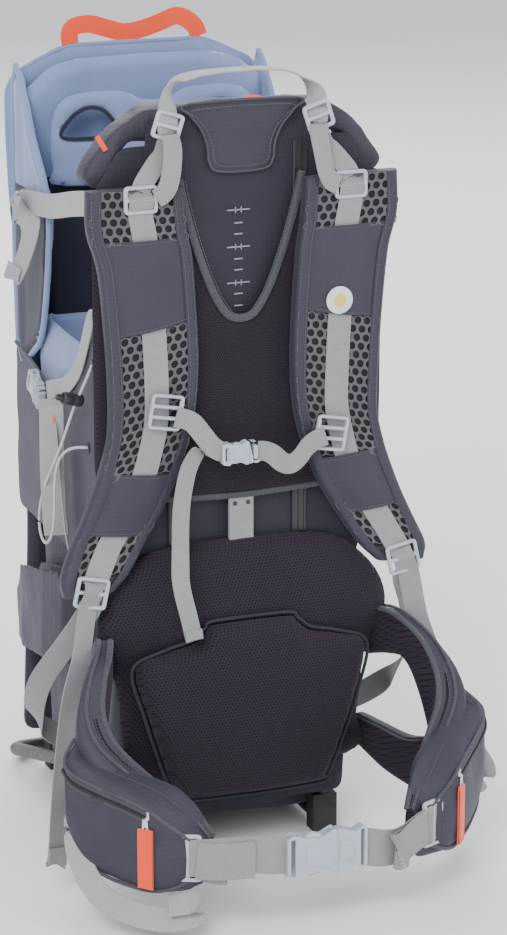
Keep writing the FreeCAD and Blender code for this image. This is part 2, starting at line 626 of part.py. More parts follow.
def make_buckles():
    """Waist, chest and leg buckles with the webbing that runs to them."""
    socket, plug = side_release("waist", 52, 48, 13, 32, 32)
    for half in (socket, plug):
        place(half, (15, -227, 80), FreeCAD.Rotation(Vec(0, 0, 1), 2))
    keep(socket, "waist_buckle_socket")
    keep(plug, "waist_buckle_plug")
    thickness = dim("waist_webbing_thickness")
    left = [(-118, -211, 84), (-100, -220, 87), (-70, -227.5, 87), (-42, -229, 83)]
    right = [(55, -226, 76), (70, -224.5, 72), (94, -217.5, 73), (116, -211.5, 82)]
    keep(ribbon("waist_strap_left", left, (0, 0, 1), dim("waist_webbing"), thickness), "waist_strap_left")
    keep(ribbon("waist_strap_right", right, (0, 0, 1), dim("waist_webbing"), thickness),
         "waist_strap_right")

    chest_socket, chest_plug = side_release("chest", 28, 24, 9, 16, 12)
    for half in (chest_socket, chest_plug):
        place(half, (-6, -46, 434))
    keep(chest_socket, "chest_buckle_socket")
    keep(chest_plug, "chest_buckle_plug")
    slider = ladderlock("chest_slider", 34, 36, 3)
    place(slider, (-87, -37.2, 479), FreeCAD.Rotation(Vec(0, 1, 0), 10))
    other = ladderlock("chest_slider_other", 34, 36, 3)
    place(other, (87, -37.2, 441), FreeCAD.Rotation(Vec(0, 1, 0), 10))
    keep(group("chest_sliders", [slider, other]), "chest_sliders")
    width, web = dim("sternum_webbing"), dim("webbing_thickness")
    reach = [(-60, -38.5, 468), (-54, -43, 455), (-45, -46, 444)]
    wave = [(14, -46, 433), (24, -47, 428), (36, -46, 417), (48, -44, 421), (60, -38.5, 431)]
    tail = [(-52, -40, 446), (-66, -38, 420), (-74, -37, 380), (-76, -42, 330), (-80, -56, 306),
            (-68, -63, 250)]
    left_runs = [ribbon("chest_reach", reach, (0.4, 0, 1), width, web),
                 ribbon("chest_tail", tail, (1, 0, 0.2), 18, web)]
    keep(group("chest_strap_left", left_runs), "chest_strap_left")
    keep(ribbon("chest_strap_right", wave, (-0.2, 0, 1), width, web), "chest_strap_right")

    leg_socket, leg_plug = side_release("leg", 28, 26, 9, 15, 12)
    tilt = FreeCAD.Rotation(Vec(1, 0, 0), 26) * FreeCAD.Rotation(Vec(0, 0, 1), -90)
    for half in (leg_socket, leg_plug):
        place(half, (147, 186, 449), tilt)
    both_sides("leg_buckle_sockets", leg_socket)
    left_and_right("leg_buckle_plug", leg_plug)


def make_side_webbing():
    """Webbing over the sides: top compression strap and tail, leg-opening rim and drop straps."""
    thickness, width = dim("webbing_thickness"), dim("webbing")
    top = ribbon("top_strap", [(152, 6, 683), (149, 60, 672), (143, 150, 652), (140.5, 238, 640)], (0, 0, 1),
                 width, thickness)
    tail = ribbon("top_tail", [(146, 214, 640), (150, 196, 618), (158, 196, 590), (166, 206, 566)],
                  (0.3, 1, 0), width, thickness)
    both_sides("side_straps", group("side_strap_run", [top, tail]))
    rim = ribbon("leg_rim", [(139, 40, 556), (139, 70, 508), (139, 100, 484), (139, 126, 470),
                             (139, 150, 463)], (0, 0.5, 1), width, thickness)
    drop = ribbon("leg_drop", [(150, 118, 454), (150, 117, 400), (149, 116, 346)], (0.42, -0.9, 0), 36,
                  thickness)
    both_sides("leg_straps", group("leg_strap_run", [rim, drop]))


def make_handles():
    """Grey grab handle over the collar and the tall handle over the rear panel."""
    arch = [(-79, 774), (-74, 790), (-55, 799), (0, 802), (60, 801), (76, 790), (79, 774)]
    grab = plate_body("grab_handle", "XZ_Plane", band_outline(arch, dim("webbing_thickness")),
                      "grab_webbing")
    keep(place(grab, (0, dim("front_post_y") - dim("grab_webbing") / 2, 0)), "grab_handle")
    band = [(-88, 788), (-62, 788), (-50, 797), (0, 795), (55, 799), (64, 788), (90, 788), (86, 812),
            (50, 823), (0, 817), (-50, 822), (-84, 812)]
    keep(place(plate_body("haul_handle", "XZ_Plane", band, "badge_thickness"), (0, 303, 0)),
         "haul_handle")


# ---------------------------------------------------------------- draw cord

CORD_ROUTE = [(-140.3, 31, 516), (-145, 33, 503), (-150.5, 37, 488), (-156, 44, 470), (-159, 52, 452),
              (-161, 66, 430), (-162, 88, 405), (-163, 116, 376), (-163, 139, 345), (-163, 143, 319),
              (-163, 126, 306), (-162, 107, 316), (-161, 97, 338), (-161, 96, 364), (-161, 92, 390),
              (-160, 78, 412), (-155, 62, 424), (-145, 55, 426), (-138.2, 54, 425)]


def make_cord():
    """Elastic draw cord, from one eyelet through its lock and round a hanging bight to another."""
    radii = []

    def limp_bend(shorter, half_turn):
        """Arc as large as the two runs allow."""
        radii.append(0.45 * shorter / math.tan(half_turn))
        return radii[-1]

    cord = tube("draw_cord", CORD_ROUTE, dim("cord_radius"), limp_bend)
    keep(cord, "draw_cord")
    length = cord.Shape.Volume / (math.pi * dim("cord_radius") ** 2)
    print("cord length %.1f mm, arc radii %s" % (length, " ".join("%.1f" % radius for radius in radii)))

    heading = unit(Vec(*CORD_ROUTE[3]) - Vec(*CORD_ROUTE[2]))
    middle = (Vec(*CORD_ROUTE[3]) + Vec(*CORD_ROUTE[2])) * 0.5
    outward = unit(Vec(-1, 0, 0) - heading * heading.dot(Vec(-1, 0, 0)))
    radius, length = dim("lock_radius"), dim("lock_length")
    foot = middle - outward * (radius - 1)
    barrel = Part.makeCylinder(radius, length, foot, outward)
    passage = Part.makeCylinder(dim("cord_radius") + 0.5, radius * 4, middle - heading * radius * 2, heading)
    socket = Part.makeCylinder(dim("plunger_radius") + 0.4, length, foot + outward * (radius + 3), outward)
    shell = barrel.cut(passage).cut(socket)
    keep(feature("cord_lock", shell.Solids[0]), "cord_lock")
    seat = foot + outward * (radius + 3)
    spring_length = dim("plunger_travel") + 2
    start = seat + outward * (spring_length + 0.4)
    spring = Part.makeCylinder(dim("plunger_radius") - 0.8, spring_length, seat + outward * 0.2, outward)
    keep(feature("cord_lock_spring", spring), "cord_lock_spring")
    button = Part.makeCylinder(dim("plunger_radius"), dim("plunger_length") + 3, start, outward)
    keep(feature("cord_lock_button", button), "cord_lock_button")
    print("cord lock axis", tuple(round(value, 4) for value in outward))


def check_document():
    """Stop if any object failed or any sub-part's shape is missing or broken."""
    doc.recompute()
    failed = [item.Name for item in doc.Objects
              if any(state in ("Invalid", "Error") for state in item.State)]
    broken = [piece.Label for piece in SUBPARTS if piece.Shape.isNull() or not piece.Shape.isValid()]
    if failed or broken:
        raise RuntimeError("failed objects %s, broken shapes %s" % (failed, broken))


def main():
    """Build every sub-part and write one STEP file for each."""
    make_frames()
    make_kickstand()
    make_bag()
    make_child_seat()
    make_harness_panel()
    make_lumbar()
    make_hip_belt()
    make_ladderlocks()
    make_yoke()
    make_buckles()
    make_side_webbing()
    make_handles()
    make_cord()
    check_document()
    os.makedirs("parts", exist_ok=True)
    for piece in SUBPARTS:
        piece.Shape.exportStep(os.path.join("parts", piece.Label + ".step"))
    boxes = [piece.Shape.BoundBox for piece in SUBPARTS]
    low = [min(getattr(bounds, side) for bounds in boxes) for side in ("XMin", "YMin", "ZMin")]
    high = [max(getattr(bounds, side) for bounds in boxes) for side in ("XMax", "YMax", "ZMax")]
    print("nodes", len(SUBPARTS), "box", [round(value, 1) for value in low + high])


main()
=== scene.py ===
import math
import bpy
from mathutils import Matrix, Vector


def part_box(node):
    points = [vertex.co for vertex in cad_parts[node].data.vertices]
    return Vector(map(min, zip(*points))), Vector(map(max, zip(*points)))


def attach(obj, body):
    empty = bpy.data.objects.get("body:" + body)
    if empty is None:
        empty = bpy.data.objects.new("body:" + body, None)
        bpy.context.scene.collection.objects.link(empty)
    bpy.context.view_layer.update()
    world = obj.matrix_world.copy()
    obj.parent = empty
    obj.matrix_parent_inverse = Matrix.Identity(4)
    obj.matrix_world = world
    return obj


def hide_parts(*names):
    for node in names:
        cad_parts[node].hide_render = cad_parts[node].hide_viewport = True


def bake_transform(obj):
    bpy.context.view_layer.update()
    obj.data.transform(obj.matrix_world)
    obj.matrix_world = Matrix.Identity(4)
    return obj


bl_info = {
    "name": "Framed Child Carrier",
    "version": (1, 0, 0),
    "blender": (4, 5, 0),
    "location": "View3D > Sidebar > Carrier",
    "description": "Builds the fabric, webbing and fittings of a framed child carrier backpack",
    "category": "Add Mesh",
}

import bmesh
import bpy
from mathutils import Matrix, Vector, noise

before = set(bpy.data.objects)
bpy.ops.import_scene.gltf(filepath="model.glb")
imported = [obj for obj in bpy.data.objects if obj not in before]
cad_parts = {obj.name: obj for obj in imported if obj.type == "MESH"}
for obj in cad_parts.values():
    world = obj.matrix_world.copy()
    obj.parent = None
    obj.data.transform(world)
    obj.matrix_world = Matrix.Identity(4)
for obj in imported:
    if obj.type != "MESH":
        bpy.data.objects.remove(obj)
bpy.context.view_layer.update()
PANEL_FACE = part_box("harness_panel")[0][1]
WORLD_ORIGIN = Vector((0, PANEL_FACE, 0))
LEFT, RIGHT = -1, 1
SIDES = {"left": LEFT, "right": RIGHT}


# ---------------------------------------------------------------- positions and lines

def at(x, y, z):
    """A point laid out in millimetres from the harness panel, in the frame, in metres."""
    return Vector((x / 1000, PANEL_FACE + y / 1000, z / 1000))


def smooth_line(points, steps=8):
    """A Catmull-Rom line through stations of any number of values."""
    ends = [[2 * a - b for a, b in zip(points[0], points[1])]]
    tail = [[2 * a - b for a, b in zip(points[-1], points[-2])]]
    knots = ends + [list(p) for p in points] + tail
    line = []
    for p0, p1, p2, p3 in zip(knots, knots[1:], knots[2:], knots[3:]):
        for step in range(steps):
            t = step / steps
            line.append([0.5 * (2 * b + (c - a) * t + (2 * a - 5 * b + 4 * c - d) * t * t
                                + (3 * b - a - 3 * c + d) * t ** 3)
                         for a, b, c, d in zip(p0, p1, p2, p3)])
    return line + [list(points[-1])]


def rounded(outline, steps=4):
    """A closed outline whose corners are eased by a smooth line through them."""
    n = len(outline)
    out = []
    for i in range(n):
        p0, p1, p2, p3 = (outline[(i + k - 1) % n] for k in range(4))
        for step in range(steps):
            t = step / steps
            out.append(tuple(0.5 * (2 * b + (c - a) * t + (2 * a - 5 * b + 4 * c - d) * t * t
                                    + (3 * b - a - 3 * c + d) * t ** 3)
                             for a, b, c, d in zip(p0, p1, p2, p3)))
    return out


def filleted(outline, radius, steps=4):
    """A closed outline whose corners are cut back and rounded."""
    out = []
    n = len(outline)
    for i in range(n):
        before, corner, after = (Vector(outline[(i + k - 1) % n]) for k in range(3))
        reach = min(radius, (before - corner).length * 0.45, (after - corner).length * 0.45)
        a = corner + (before - corner).normalized() * reach
        b = corner + (after - corner).normalized() * reach
        for step in range(steps + 1):
            t = step / steps
            point = a * (1 - t) ** 2 + corner * 2 * t * (1 - t) + b * t * t
            out.append((point.x, point.y))
    return out


def mirrored_route(route, side):
    """The right-hand route, or its twin on the left."""
    return [(side * p[0],) + tuple(p[1:]) for p in route]


def both_halves(half):
    """A closed outline from its right-hand half, listed upwards."""
    return list(half) + [(-x, z) for x, z in reversed(half)]


def hash_noise(point, scale):
    """Smooth noise between -1 and 1 at a point in metres."""
    return noise.noise(point * scale)


# ---------------------------------------------------------------- finishing a piece

MATERIALS = {}


def finish_piece(name, bm, materials, body, replaces=(), merge=True, recalc=True, angle=35):
    """Turns a bmesh into a piece that rides on a body and takes its finish from a slot."""
    if merge:
        bmesh.ops.remove_doubles(bm, verts=bm.verts, dist=0.00002)
    if recalc:
        bmesh.ops.recalc_face_normals(bm, faces=bm.faces)
    mesh = bpy.data.meshes.new(name)
    bm.to_mesh(mesh)
    bm.free()
    obj = bpy.data.objects.new(name, mesh)
    bpy.context.scene.collection.objects.link(obj)
    for material in [materials] if isinstance(materials, str) else materials:
        mesh.materials.append(MATERIALS[material])
    mesh.shade_smooth()
    mesh.set_sharp_from_angle(angle=math.radians(angle))
    if body:
        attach(obj, body)
    if replaces:
        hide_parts(*replaces)
    return obj


def rerun_mesh(obj):
    """Applies an object's modifiers, so that its mesh is what shows."""
    bpy.context.view_layer.update()
    graph = bpy.context.evaluated_depsgraph_get()
    mesh = bpy.data.meshes.new_from_object(obj.evaluated_get(graph))
    obj.modifiers.clear()
    obj.data = mesh
    return obj


# ---------------------------------------------------------------- shapes

def sweep(rings, bm=None):
    """A skin whose rings are each extruded from the last, with a UV map in metres."""
    bm = bm or bmesh.new()
    uv = bm.loops.layers.uv.get("UVMap") or bm.loops.layers.uv.new("UVMap")
    first = [bm.verts.new(p) for p in rings[0]]
    pairs = list(zip(first, first[1:] + first[:1]))
    edges = [bm.edges.new(pair) for pair in pairs]
    count = len(first)
    across = [0.0]
    for a, b in zip(rings[0], rings[0][1:] + rings[0][:1]):
        across.append(across[-1] + (Vector(b) - Vector(a)).length)
    rows, along = [first], [0.0]
    for before, ring in zip(rings, rings[1:]):
        made = bmesh.ops.extrude_edge_only(bm, edges=edges)["geom"]
        fresh = {v for v in made if isinstance(v, bmesh.types.BMVert)}
        row = [next(e.other_vert(old) for e in old.link_edges if e.other_vert(old) in fresh)
               for old in rows[-1]]
        for vert, point in zip(row, ring):
            vert.co = point
        edges = [bm.edges.get((a, b)) for a, b in zip(row, row[1:] + row[:1])]
        middle = sum((Vector(b) - Vector(a) for a, b in zip(before, ring)), Vector()) / count
        along.append(along[-1] + middle.length)
        rows.append(row)
    place = {vert: (r, c) for r, row in enumerate(rows) for c, vert in enumerate(row)}
    faces = {f for row in rows for v in row for f in v.link_faces}
    for face in faces:
        columns = [place[v][1] for v in face.verts]
        wraps = max(columns) - min(columns) > 1
        for loop in face.loops:
            r, c = place[loop.vert]
            loop[uv].uv = (across[count if wraps and c == 0 else c], along[r])
    for row in (rows[0], rows[-1]):
        bm.faces.new(row)
    return bm


def strap_frames(route, across, steps):
    """Points, sides and lifts along a strap; each station is (x, y, z) with an optional width."""
    line = smooth_line(route, steps)
    points = [at(*station[:3]) for station in line]
    out = []
    for i, (station, point) in enumerate(zip(line, points)):
        along = (points[min(i + 1, len(points) - 1)] - points[max(i - 1, 0)]).normalized()
        t = i / (len(points) - 1)
        if isinstance(across[0], (tuple, list)):
            k = t * (len(across) - 1)
            a, b = across[int(k)], across[min(int(k) + 1, len(across) - 1)]
            wish = Vector(a).lerp(Vector(b), k - int(k))
        else:
            wish = Vector(across)
        side = (wish - along * along.dot(wish)).normalized()
        out.append((point, side, along.cross(side)))
    return line, out


def strap(bm, route, across, width, thickness=1.4, steps=8, wobble=0.0, seed=0.0):
    """Woven webbing swept along a smooth line, its width kept along across."""
    line, frames = strap_frames(route, across, steps)
    half_t = thickness / 2000
    rings = []
    for station, (point, side, up) in zip(line, frames):
        half = (station[3] if len(station) > 3 else width) / 2000
        sway = wobble / 1000 * hash_noise(point + Vector((seed, 0, 0)), 18.0)
        base = point + up * sway
        spots = [(-1, 0), (-0.97, 1), (-0.6, 1), (0, 1), (0.6, 1), (0.97, 1),
                 (1, 0), (0.97, -1), (0.6, -1), (0, -1), (-0.6, -1), (-0.97, -1)]
        rings.append([base + side * (half * s) + up * (half_t * t) for s, t in spots])
    return sweep(rings, bm=bm)


def tube_rings(points, radius, sides=10, flat=1.0, wish=(0, 0, 1)):
    """Rings round a line of points in metres; flat squeezes them along the lift."""
    rings = []
    for i, point in enumerate(points):
        along = (points[min(i + 1, len(points) - 1)] - points[max(i - 1, 0)]).normalized()
        want = Vector(wish)
        side = along.cross(want)
        side = side.normalized() if side.length > 1e-4 else along.orthogonal().normalized()
        up = side.cross(along)
        rings.append([point + side * (radius * math.cos(math.tau * k / sides))
                      + up * (radius * flat * math.sin(math.tau * k / sides))
                      for k in range(sides)])
    return rings


def piping(bm, route, radius, steps=8, flat=0.7, wish=(0, 1, 0)):
    """A rounded binding along a smooth line of millimetre points."""
    points = [at(*p) for p in smooth_line(route, steps)]
    return sweep(tube_rings(points, radius / 1000, 10, flat, wish), bm=bm)


def plate(bm, outline, holes, thickness, matrix, bevel=0.8, segments=3):
    """A moulded plate from an outline with openings, its rims rounded. Outlines are in mm."""
    part = bmesh.new()
    edges = []
    for loop in [outline] + list(holes):
        verts = [part.verts.new((u / 1000, 0, w / 1000)) for u, w in loop]
        edges += [part.edges.new(pair) for pair in zip(verts, verts[1:] + verts[:1])]
    bmesh.ops.triangle_fill(part, edges=edges, use_beauty=True, use_dissolve=False)
    bmesh.ops.recalc_face_normals(part, faces=part.faces)
    flat = list(part.faces)
    made = bmesh.ops.extrude_face_region(part, geom=flat, use_keep_orig=True)["geom"]
    bmesh.ops.translate(part, vec=(0, thickness / 1000, 0),
                        verts=[v for v in made if isinstance(v, bmesh.types.BMVert)])
    bmesh.ops.recalc_face_normals(part, faces=part.faces)
    rims = [e for e in part.edges if len(e.link_faces) == 2
            and e.calc_face_angle(0) > math.radians(60)]
    if bevel:
        bmesh.ops.bevel(part, geom=rims, offset=bevel / 1000, offset_type="OFFSET",
                        segments=segments, profile=0.5, affect="EDGES", material=-1,
                        clamp_overlap=True)
    return add_part(bm, part, matrix)


def add_part(bm, part, matrix=None):
    """Moves a finished sub-mesh into place inside another one, keeping its UV map."""
    if matrix is not None:
        bmesh.ops.transform(part, matrix=matrix, verts=part.verts)
    mesh = bpy.data.meshes.new("scratch")
    part.to_mesh(mesh)
    part.free()
    bm.from_mesh(mesh)
    bpy.data.meshes.remove(mesh)
    return bm


def lozenge(bm, size, matrix, bevel=1.0, segments=3):
    """A moulded block with rounded edges, sizes in mm."""
    part = bmesh.new()
    bmesh.ops.create_cube(part, size=1, matrix=Matrix.Diagonal([s / 1000 for s in size] + [1]))
    bmesh.ops.bevel(part, geom=list(part.edges), offset=bevel / 1000, offset_type="OFFSET",
                    segments=segments, profile=0.5, affect="EDGES", material=-1,
                    clamp_overlap=True)
    return add_part(bm, part, matrix)


def rod(bm, start, end, radius, sides=12):
    """A rounded bar between two points in metres."""
    axis = end - start
    dome = [(0.0, 0.0), (0.03, 0.6), (0.12, 0.9), (0.3, 1.0), (0.7, 1.0), (0.88, 0.9),
            (0.97, 0.6), (1.0, 0.0)]
    span = min(1.0, 4 * radius / axis.length)
    rings = []
    for t, grow in dome:
        u = t * span / 2 / 0.3 if t <= 0.3 else (1 - (1 - t) * span / 2 / 0.3 if t >= 0.7 else t)
        turn = axis.to_track_quat("Z", "Y")
        rings.append([start + axis * u + turn @ Vector((math.cos(a), math.sin(a), 0))
                      * (radius * max(grow, 0.02)) for a in
                      [math.tau * k / sides for k in range(sides)]])
    return sweep(rings, bm=bm)


def stitches(bm, points, lift, pitch=3.4, length=2.3, size=0.55):
    """A row of thread stitches along a line of points in metres, standing out along lift."""
    travelled, wanted = 0.0, pitch / 2000
    for a, b in zip(points, points[1:]):
        step = (b - a).length
        while step > 1e-6 and travelled + step >= wanted:
            t = (wanted - travelled) / step
            out = lift(a.lerp(b, t)) if callable(lift) else Vector(lift)
            along = (b - a).normalized()
            side = along.cross(out).normalized()
            basis = Matrix((along, side, out)).transposed().to_4x4()
            basis.translation = a.lerp(b, t)
            scale = Matrix.Diagonal((length / 1000, size / 1000, size / 1000, 1))
            bmesh.ops.create_cube(bm, size=1, matrix=basis @ scale)
            wanted += pitch / 1000
        travelled += step
    return bm


def cut_sheet(outline, pitch, holes=()):
    """A flat sheet in its own X and Z, in mm, sliced into a grid so that it can bend."""
    part = bmesh.new()
    edges = []
    for loop in [outline] + list(holes):
        verts = [part.verts.new((u, 0, w)) for u, w in loop]
        edges += [part.edges.new(pair) for pair in zip(verts, verts[1:] + verts[:1])]
    bmesh.ops.triangle_fill(part, edges=edges, use_beauty=True, use_dissolve=True)
    for axis in (0, 2):
        low = min(v.co[axis] for v in part.verts)
        high = max(v.co[axis] for v in part.verts)
        normal = Vector((1, 0, 0)) if axis == 0 else Vector((0, 0, 1))
        place = low + pitch * 0.5
        while place < high - 0.2 * pitch:
            bmesh.ops.bisect_plane(part, geom=list(part.verts) + list(part.edges)
                                   + list(part.faces), plane_co=normal * place,
                                   plane_no=normal, dist=0.01)
            place += pitch
    return part


def bend_sheet(part, place, thickness, bm=None):
    """Lays a cut sheet on place(u, w), gives it a UV map in metres and a thickness in mm."""
    uv = part.loops.layers.uv.get("UVMap") or part.loops.layers.uv.new("UVMap")
    for face in part.faces:
        for loop in face.loops:
            loop[uv].uv = (loop.vert.co.x / 1000, loop.vert.co.z / 1000)
    for vert in part.verts:
        vert.co = place(vert.co.x, vert.co.z)
    bmesh.ops.recalc_face_normals(part, faces=part.faces)
    if thickness:
        bmesh.ops.solidify(part, geom=list(part.faces), thickness=thickness / 1000)
    bmesh.ops.recalc_face_normals(part, faces=part.faces)
    return add_part(bm or bmesh.new(), part)


def soft_copy(nodes, voxel, inset=0.0, smoothing=6):
    """One closed, evenly meshed skin over the space that CAD solids hold."""
    part = bmesh.new()
    for node in nodes:
        part.from_mesh(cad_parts[node].data)
    bmesh.ops.remove_doubles(part, verts=part.verts, dist=0.00001)
    mesh = bpy.data.meshes.new("scratch_pad")
    part.to_mesh(mesh)
    part.free()
    obj = bpy.data.objects.new("scratch_pad", mesh)
    bpy.context.scene.collection.objects.link(obj)
    remesh = obj.modifiers.new("remesh", "REMESH")
    remesh.mode = "VOXEL"
    remesh.voxel_size = voxel / 1000
    rerun_mesh(obj)
    soft = bmesh.new()
    soft.from_mesh(obj.data)
    for _ in range(smoothing):
        bmesh.ops.smooth_vert(soft, verts=soft.verts, factor=0.5, use_axis_x=True,
                              use_axis_y=True, use_axis_z=True)
    if inset:
        soft.normal_update()
        for vert in soft.verts:
            vert.co -= vert.normal * (inset / 1000)
    bpy.data.objects.remove(obj)
    return soft


def inflate(soft, pressure=4.0, cap=8.0, frames=20):
    """Fills a pad by a short cloth run, and caps in mm how far any point of it may move."""
    mesh = bpy.data.meshes.new("scratch_cloth")
    soft.to_mesh(mesh)
    rest = [v.co.copy() for v in mesh.vertices]
    obj = bpy.data.objects.new("scratch_cloth", mesh)
    scene = bpy.context.scene
    scene.collection.objects.link(obj)
    cloth = obj.modifiers.new("cloth", "CLOTH")
    cloth.settings.use_pressure = True
    cloth.settings.uniform_pressure_force = pressure
    cloth.settings.effector_weights.gravity = 0
    cloth.settings.quality = 5
    cloth.settings.tension_stiffness = 12
    cloth.settings.compression_stiffness = 8
    cloth.settings.bending_stiffness = 0.8
    cloth.collision_settings.use_collision = False
    cloth.point_cache.frame_start = 1
    cloth.point_cache.frame_end = frames
    for number in range(1, frames + 1):
        scene.frame_set(number)
    rerun_mesh(obj)
    scene.frame_set(1)
    for vert, moved, start in zip(soft.verts, obj.data.vertices, rest):
        shift = moved.co - start
        limit = cap / 1000
        vert.co = start + (shift if shift.length < limit else shift.normalized() * limit)
    bpy.data.objects.remove(obj)
    return soft


def crumple(soft, folds, depth, grain=60.0, stretch=(1, 1, 1)):
    """Pushes a skin in and out along its normals, as slack fabric lies."""
    soft.normal_update()
    for vert in soft.verts:
        spot = Vector(a * b for a, b in zip(vert.co, stretch))
        shift = hash_noise(spot, folds) * depth + hash_noise(spot, grain) * depth * 0.25
        vert.co += vert.normal * (shift / 1000)
    return soft


# ---------------------------------------------------------------- materials

def node(tree, kind, inputs=None, **settings):
    """A shader node; inputs holds values, or sockets to link from."""
    made = tree.nodes.new(kind)
    for name, value in settings.items():
        setattr(made, name, value)
    for key, value in (inputs or {}).items():
        if isinstance(value, bpy.types.NodeSocket):
            tree.links.new(value, made.inputs[key])
        else:
            made.inputs[key].default_value = value
    return made


def math_node(tree, operation, a, b=0.0):
    """One step of arithmetic between sockets or numbers."""
    return node(tree, "ShaderNodeMath", {0: a, 1: b}, operation=operation).outputs[0]


def shader(name, roughness, metallic=0.0, sheen=0.0, sheen_tint=(1, 1, 1, 1), specular=0.5):
    """A material with its surface shader ready for a colour and a bump."""
    material = bpy.data.materials.new(name)
    material.use_nodes = True
    tree = material.node_tree
    surface = tree.nodes["Principled BSDF"]
    surface.inputs["Roughness"].default_value = roughness
    surface.inputs["Metallic"].default_value = metallic
    surface.inputs["Sheen Weight"].default_value = sheen
    surface.inputs["Sheen Roughness"].default_value = 0.45
    surface.inputs["Sheen Tint"].default_value = sheen_tint
    surface.inputs["Specular IOR Level"].default_value = specular
    MATERIALS[name] = material
    return tree, surface


def colour_between(tree, surface, factor, dark, light):
    """Links the base colour to a blend of two colours."""
    mix = node(tree, "ShaderNodeMix", {"Factor": factor}, data_type="RGBA")
    mix.inputs["A"].default_value = (*dark, 1)
    mix.inputs["B"].default_value = (*light, 1)
    tree.links.new(mix.outputs["Result"], surface.inputs["Base Color"])
    return mix.outputs["Result"]


def bump(tree, surface, height, strength, distance):
    """Raises the surface by a height between 0 and 1."""
    made = node(tree, "ShaderNodeBump", {"Height": height, "Strength": strength,
                                         "Distance": distance})
    tree.links.new(made.outputs["Normal"], surface.inputs["Normal"])
    return made


def object_place(tree):
    """Object coordinates as three sockets, and the vector itself."""
    spot = node(tree, "ShaderNodeTexCoord").outputs["Object"]
    parts = node(tree, "ShaderNodeSeparateXYZ", {0: spot})
    return spot, parts.outputs


def noise_node(tree, spot, scale, detail=2.0, roughness=0.5):
    """Noise between 0 and 1 at a place."""
    return node(tree, "ShaderNodeTexNoise", {"Vector": spot, "Scale": scale, "Detail": detail,
                                             "Roughness": roughness}).outputs["Fac"]


def wave(tree, value, pitch, phase=0.0):
    """A cosine between -1 and 1 that repeats every pitch metres."""
    turned = math_node(tree, "MULTIPLY", value, math.tau / pitch)
    return math_node(tree, "COSINE", math_node(tree, "ADD", turned, phase))


def hex_height(tree, u, w, pitch):
    """Height of a net whose round holes stand in a hexagonal array, 0 in a hole, 1 between."""
    row = pitch * math.sqrt(3) / 2
    total = wave(tree, w, row)
    for lean in (0.5, -0.5):
        slanted = math_node(tree, "ADD", math_node(tree, "MULTIPLY", u, math.sqrt(3) / 2),
                            math_node(tree, "MULTIPLY", w, lean))
        total = math_node(tree, "ADD", total, wave(tree, slanted, row))
    scaled = node(tree, "ShaderNodeMapRange", {"Value": total, "From Min": 2.0, "From Max": -0.4,
                                               "To Min": 0.0, "To Max": 1.0})
    return scaled.outputs[0]


def slanted_place(tree, share=0.75):
    """Coordinates that run round an upright surface and up it, with no seam."""
    spot, parts = object_place(tree)
    u = math_node(tree, "ADD", parts["X"], math_node(tree, "MULTIPLY", parts["Y"], share))
    w = math_node(tree, "ADD", parts["Z"], math_node(tree, "MULTIPLY", parts["Y"], 0.35))
    return spot, u, w


def make_ripstop(name, dark, light, roughness=0.62, sheen=0.14):
    """Coated ripstop: plain weave with a raised thread every few millimetres."""
    tree, surface = shader(name, roughness, sheen=sheen, sheen_tint=(0.6, 0.62, 0.8, 1))
    spot, u, w = slanted_place(tree)
    lines = None
    for value in (u, w):
        thread = math_node(tree, "POWER", math_node(tree, "ABSOLUTE", wave(tree, value, 0.0104)), 18.0)
        lines = thread if lines is None else math_node(tree, "MAXIMUM", lines, thread)
    weave = math_node(tree, "MULTIPLY", wave(tree, u, 0.0011), wave(tree, w, 0.0011))
    patches = noise_node(tree, spot, 22.0, 3.0)
    grain = noise_node(tree, spot, 900.0, 2.0)
    shade = math_node(tree, "ADD", math_node(tree, "MULTIPLY", patches, 0.55),
                      math_node(tree, "MULTIPLY", grain, 0.35))
    shade = math_node(tree, "ADD", shade, math_node(tree, "MULTIPLY", lines, 0.28))
    colour_between(tree, surface, shade, dark, light)
    height = math_node(tree, "ADD", math_node(tree, "MULTIPLY", lines, 0.7),
                       math_node(tree, "MULTIPLY", weave, 0.22))
    wrinkles = math_node(tree, "MULTIPLY", noise_node(tree, spot, 70.0, 4.0), 1.6)
    bump(tree, surface, math_node(tree, "ADD", height, wrinkles), 0.45, 0.0006)


def make_spacer_mesh(name, pitch, hole, rib, strength=0.8, roughness=0.8):
    """Knitted spacer net with hexagonally set holes."""
    tree, surface = shader(name, roughness, sheen=0.10, sheen_tint=(0.75, 0.6, 0.75, 1), specular=0.25)
    spot, u, w = slanted_place(tree, 0.6)
    net = hex_height(tree, u, w, pitch)
    fuzz = noise_node(tree, spot, 1400.0, 2.0)
    patches = noise_node(tree, spot, 14.0, 2.0)
    shade = math_node(tree, "MULTIPLY", net, math_node(tree, "ADD", math_node(tree, "MULTIPLY", fuzz, 0.5),
                                                      math_node(tree, "ADD", 0.45, math_node(
                                                          tree, "MULTIPLY", patches, 0.4))))
    colour_between(tree, surface, shade, hole, rib)
    bump(tree, surface, math_node(tree, "ADD", net, math_node(tree, "MULTIPLY", fuzz, 0.3)),
         strength, 0.0009)


def uv_place(tree):
    """The piece's own UV map, in metres."""
    spot = node(tree, "ShaderNodeUVMap", uv_map="UVMap").outputs["UV"]
    parts = node(tree, "ShaderNodeSeparateXYZ", {0: spot})
    return spot, parts.outputs["X"], parts.outputs["Y"]


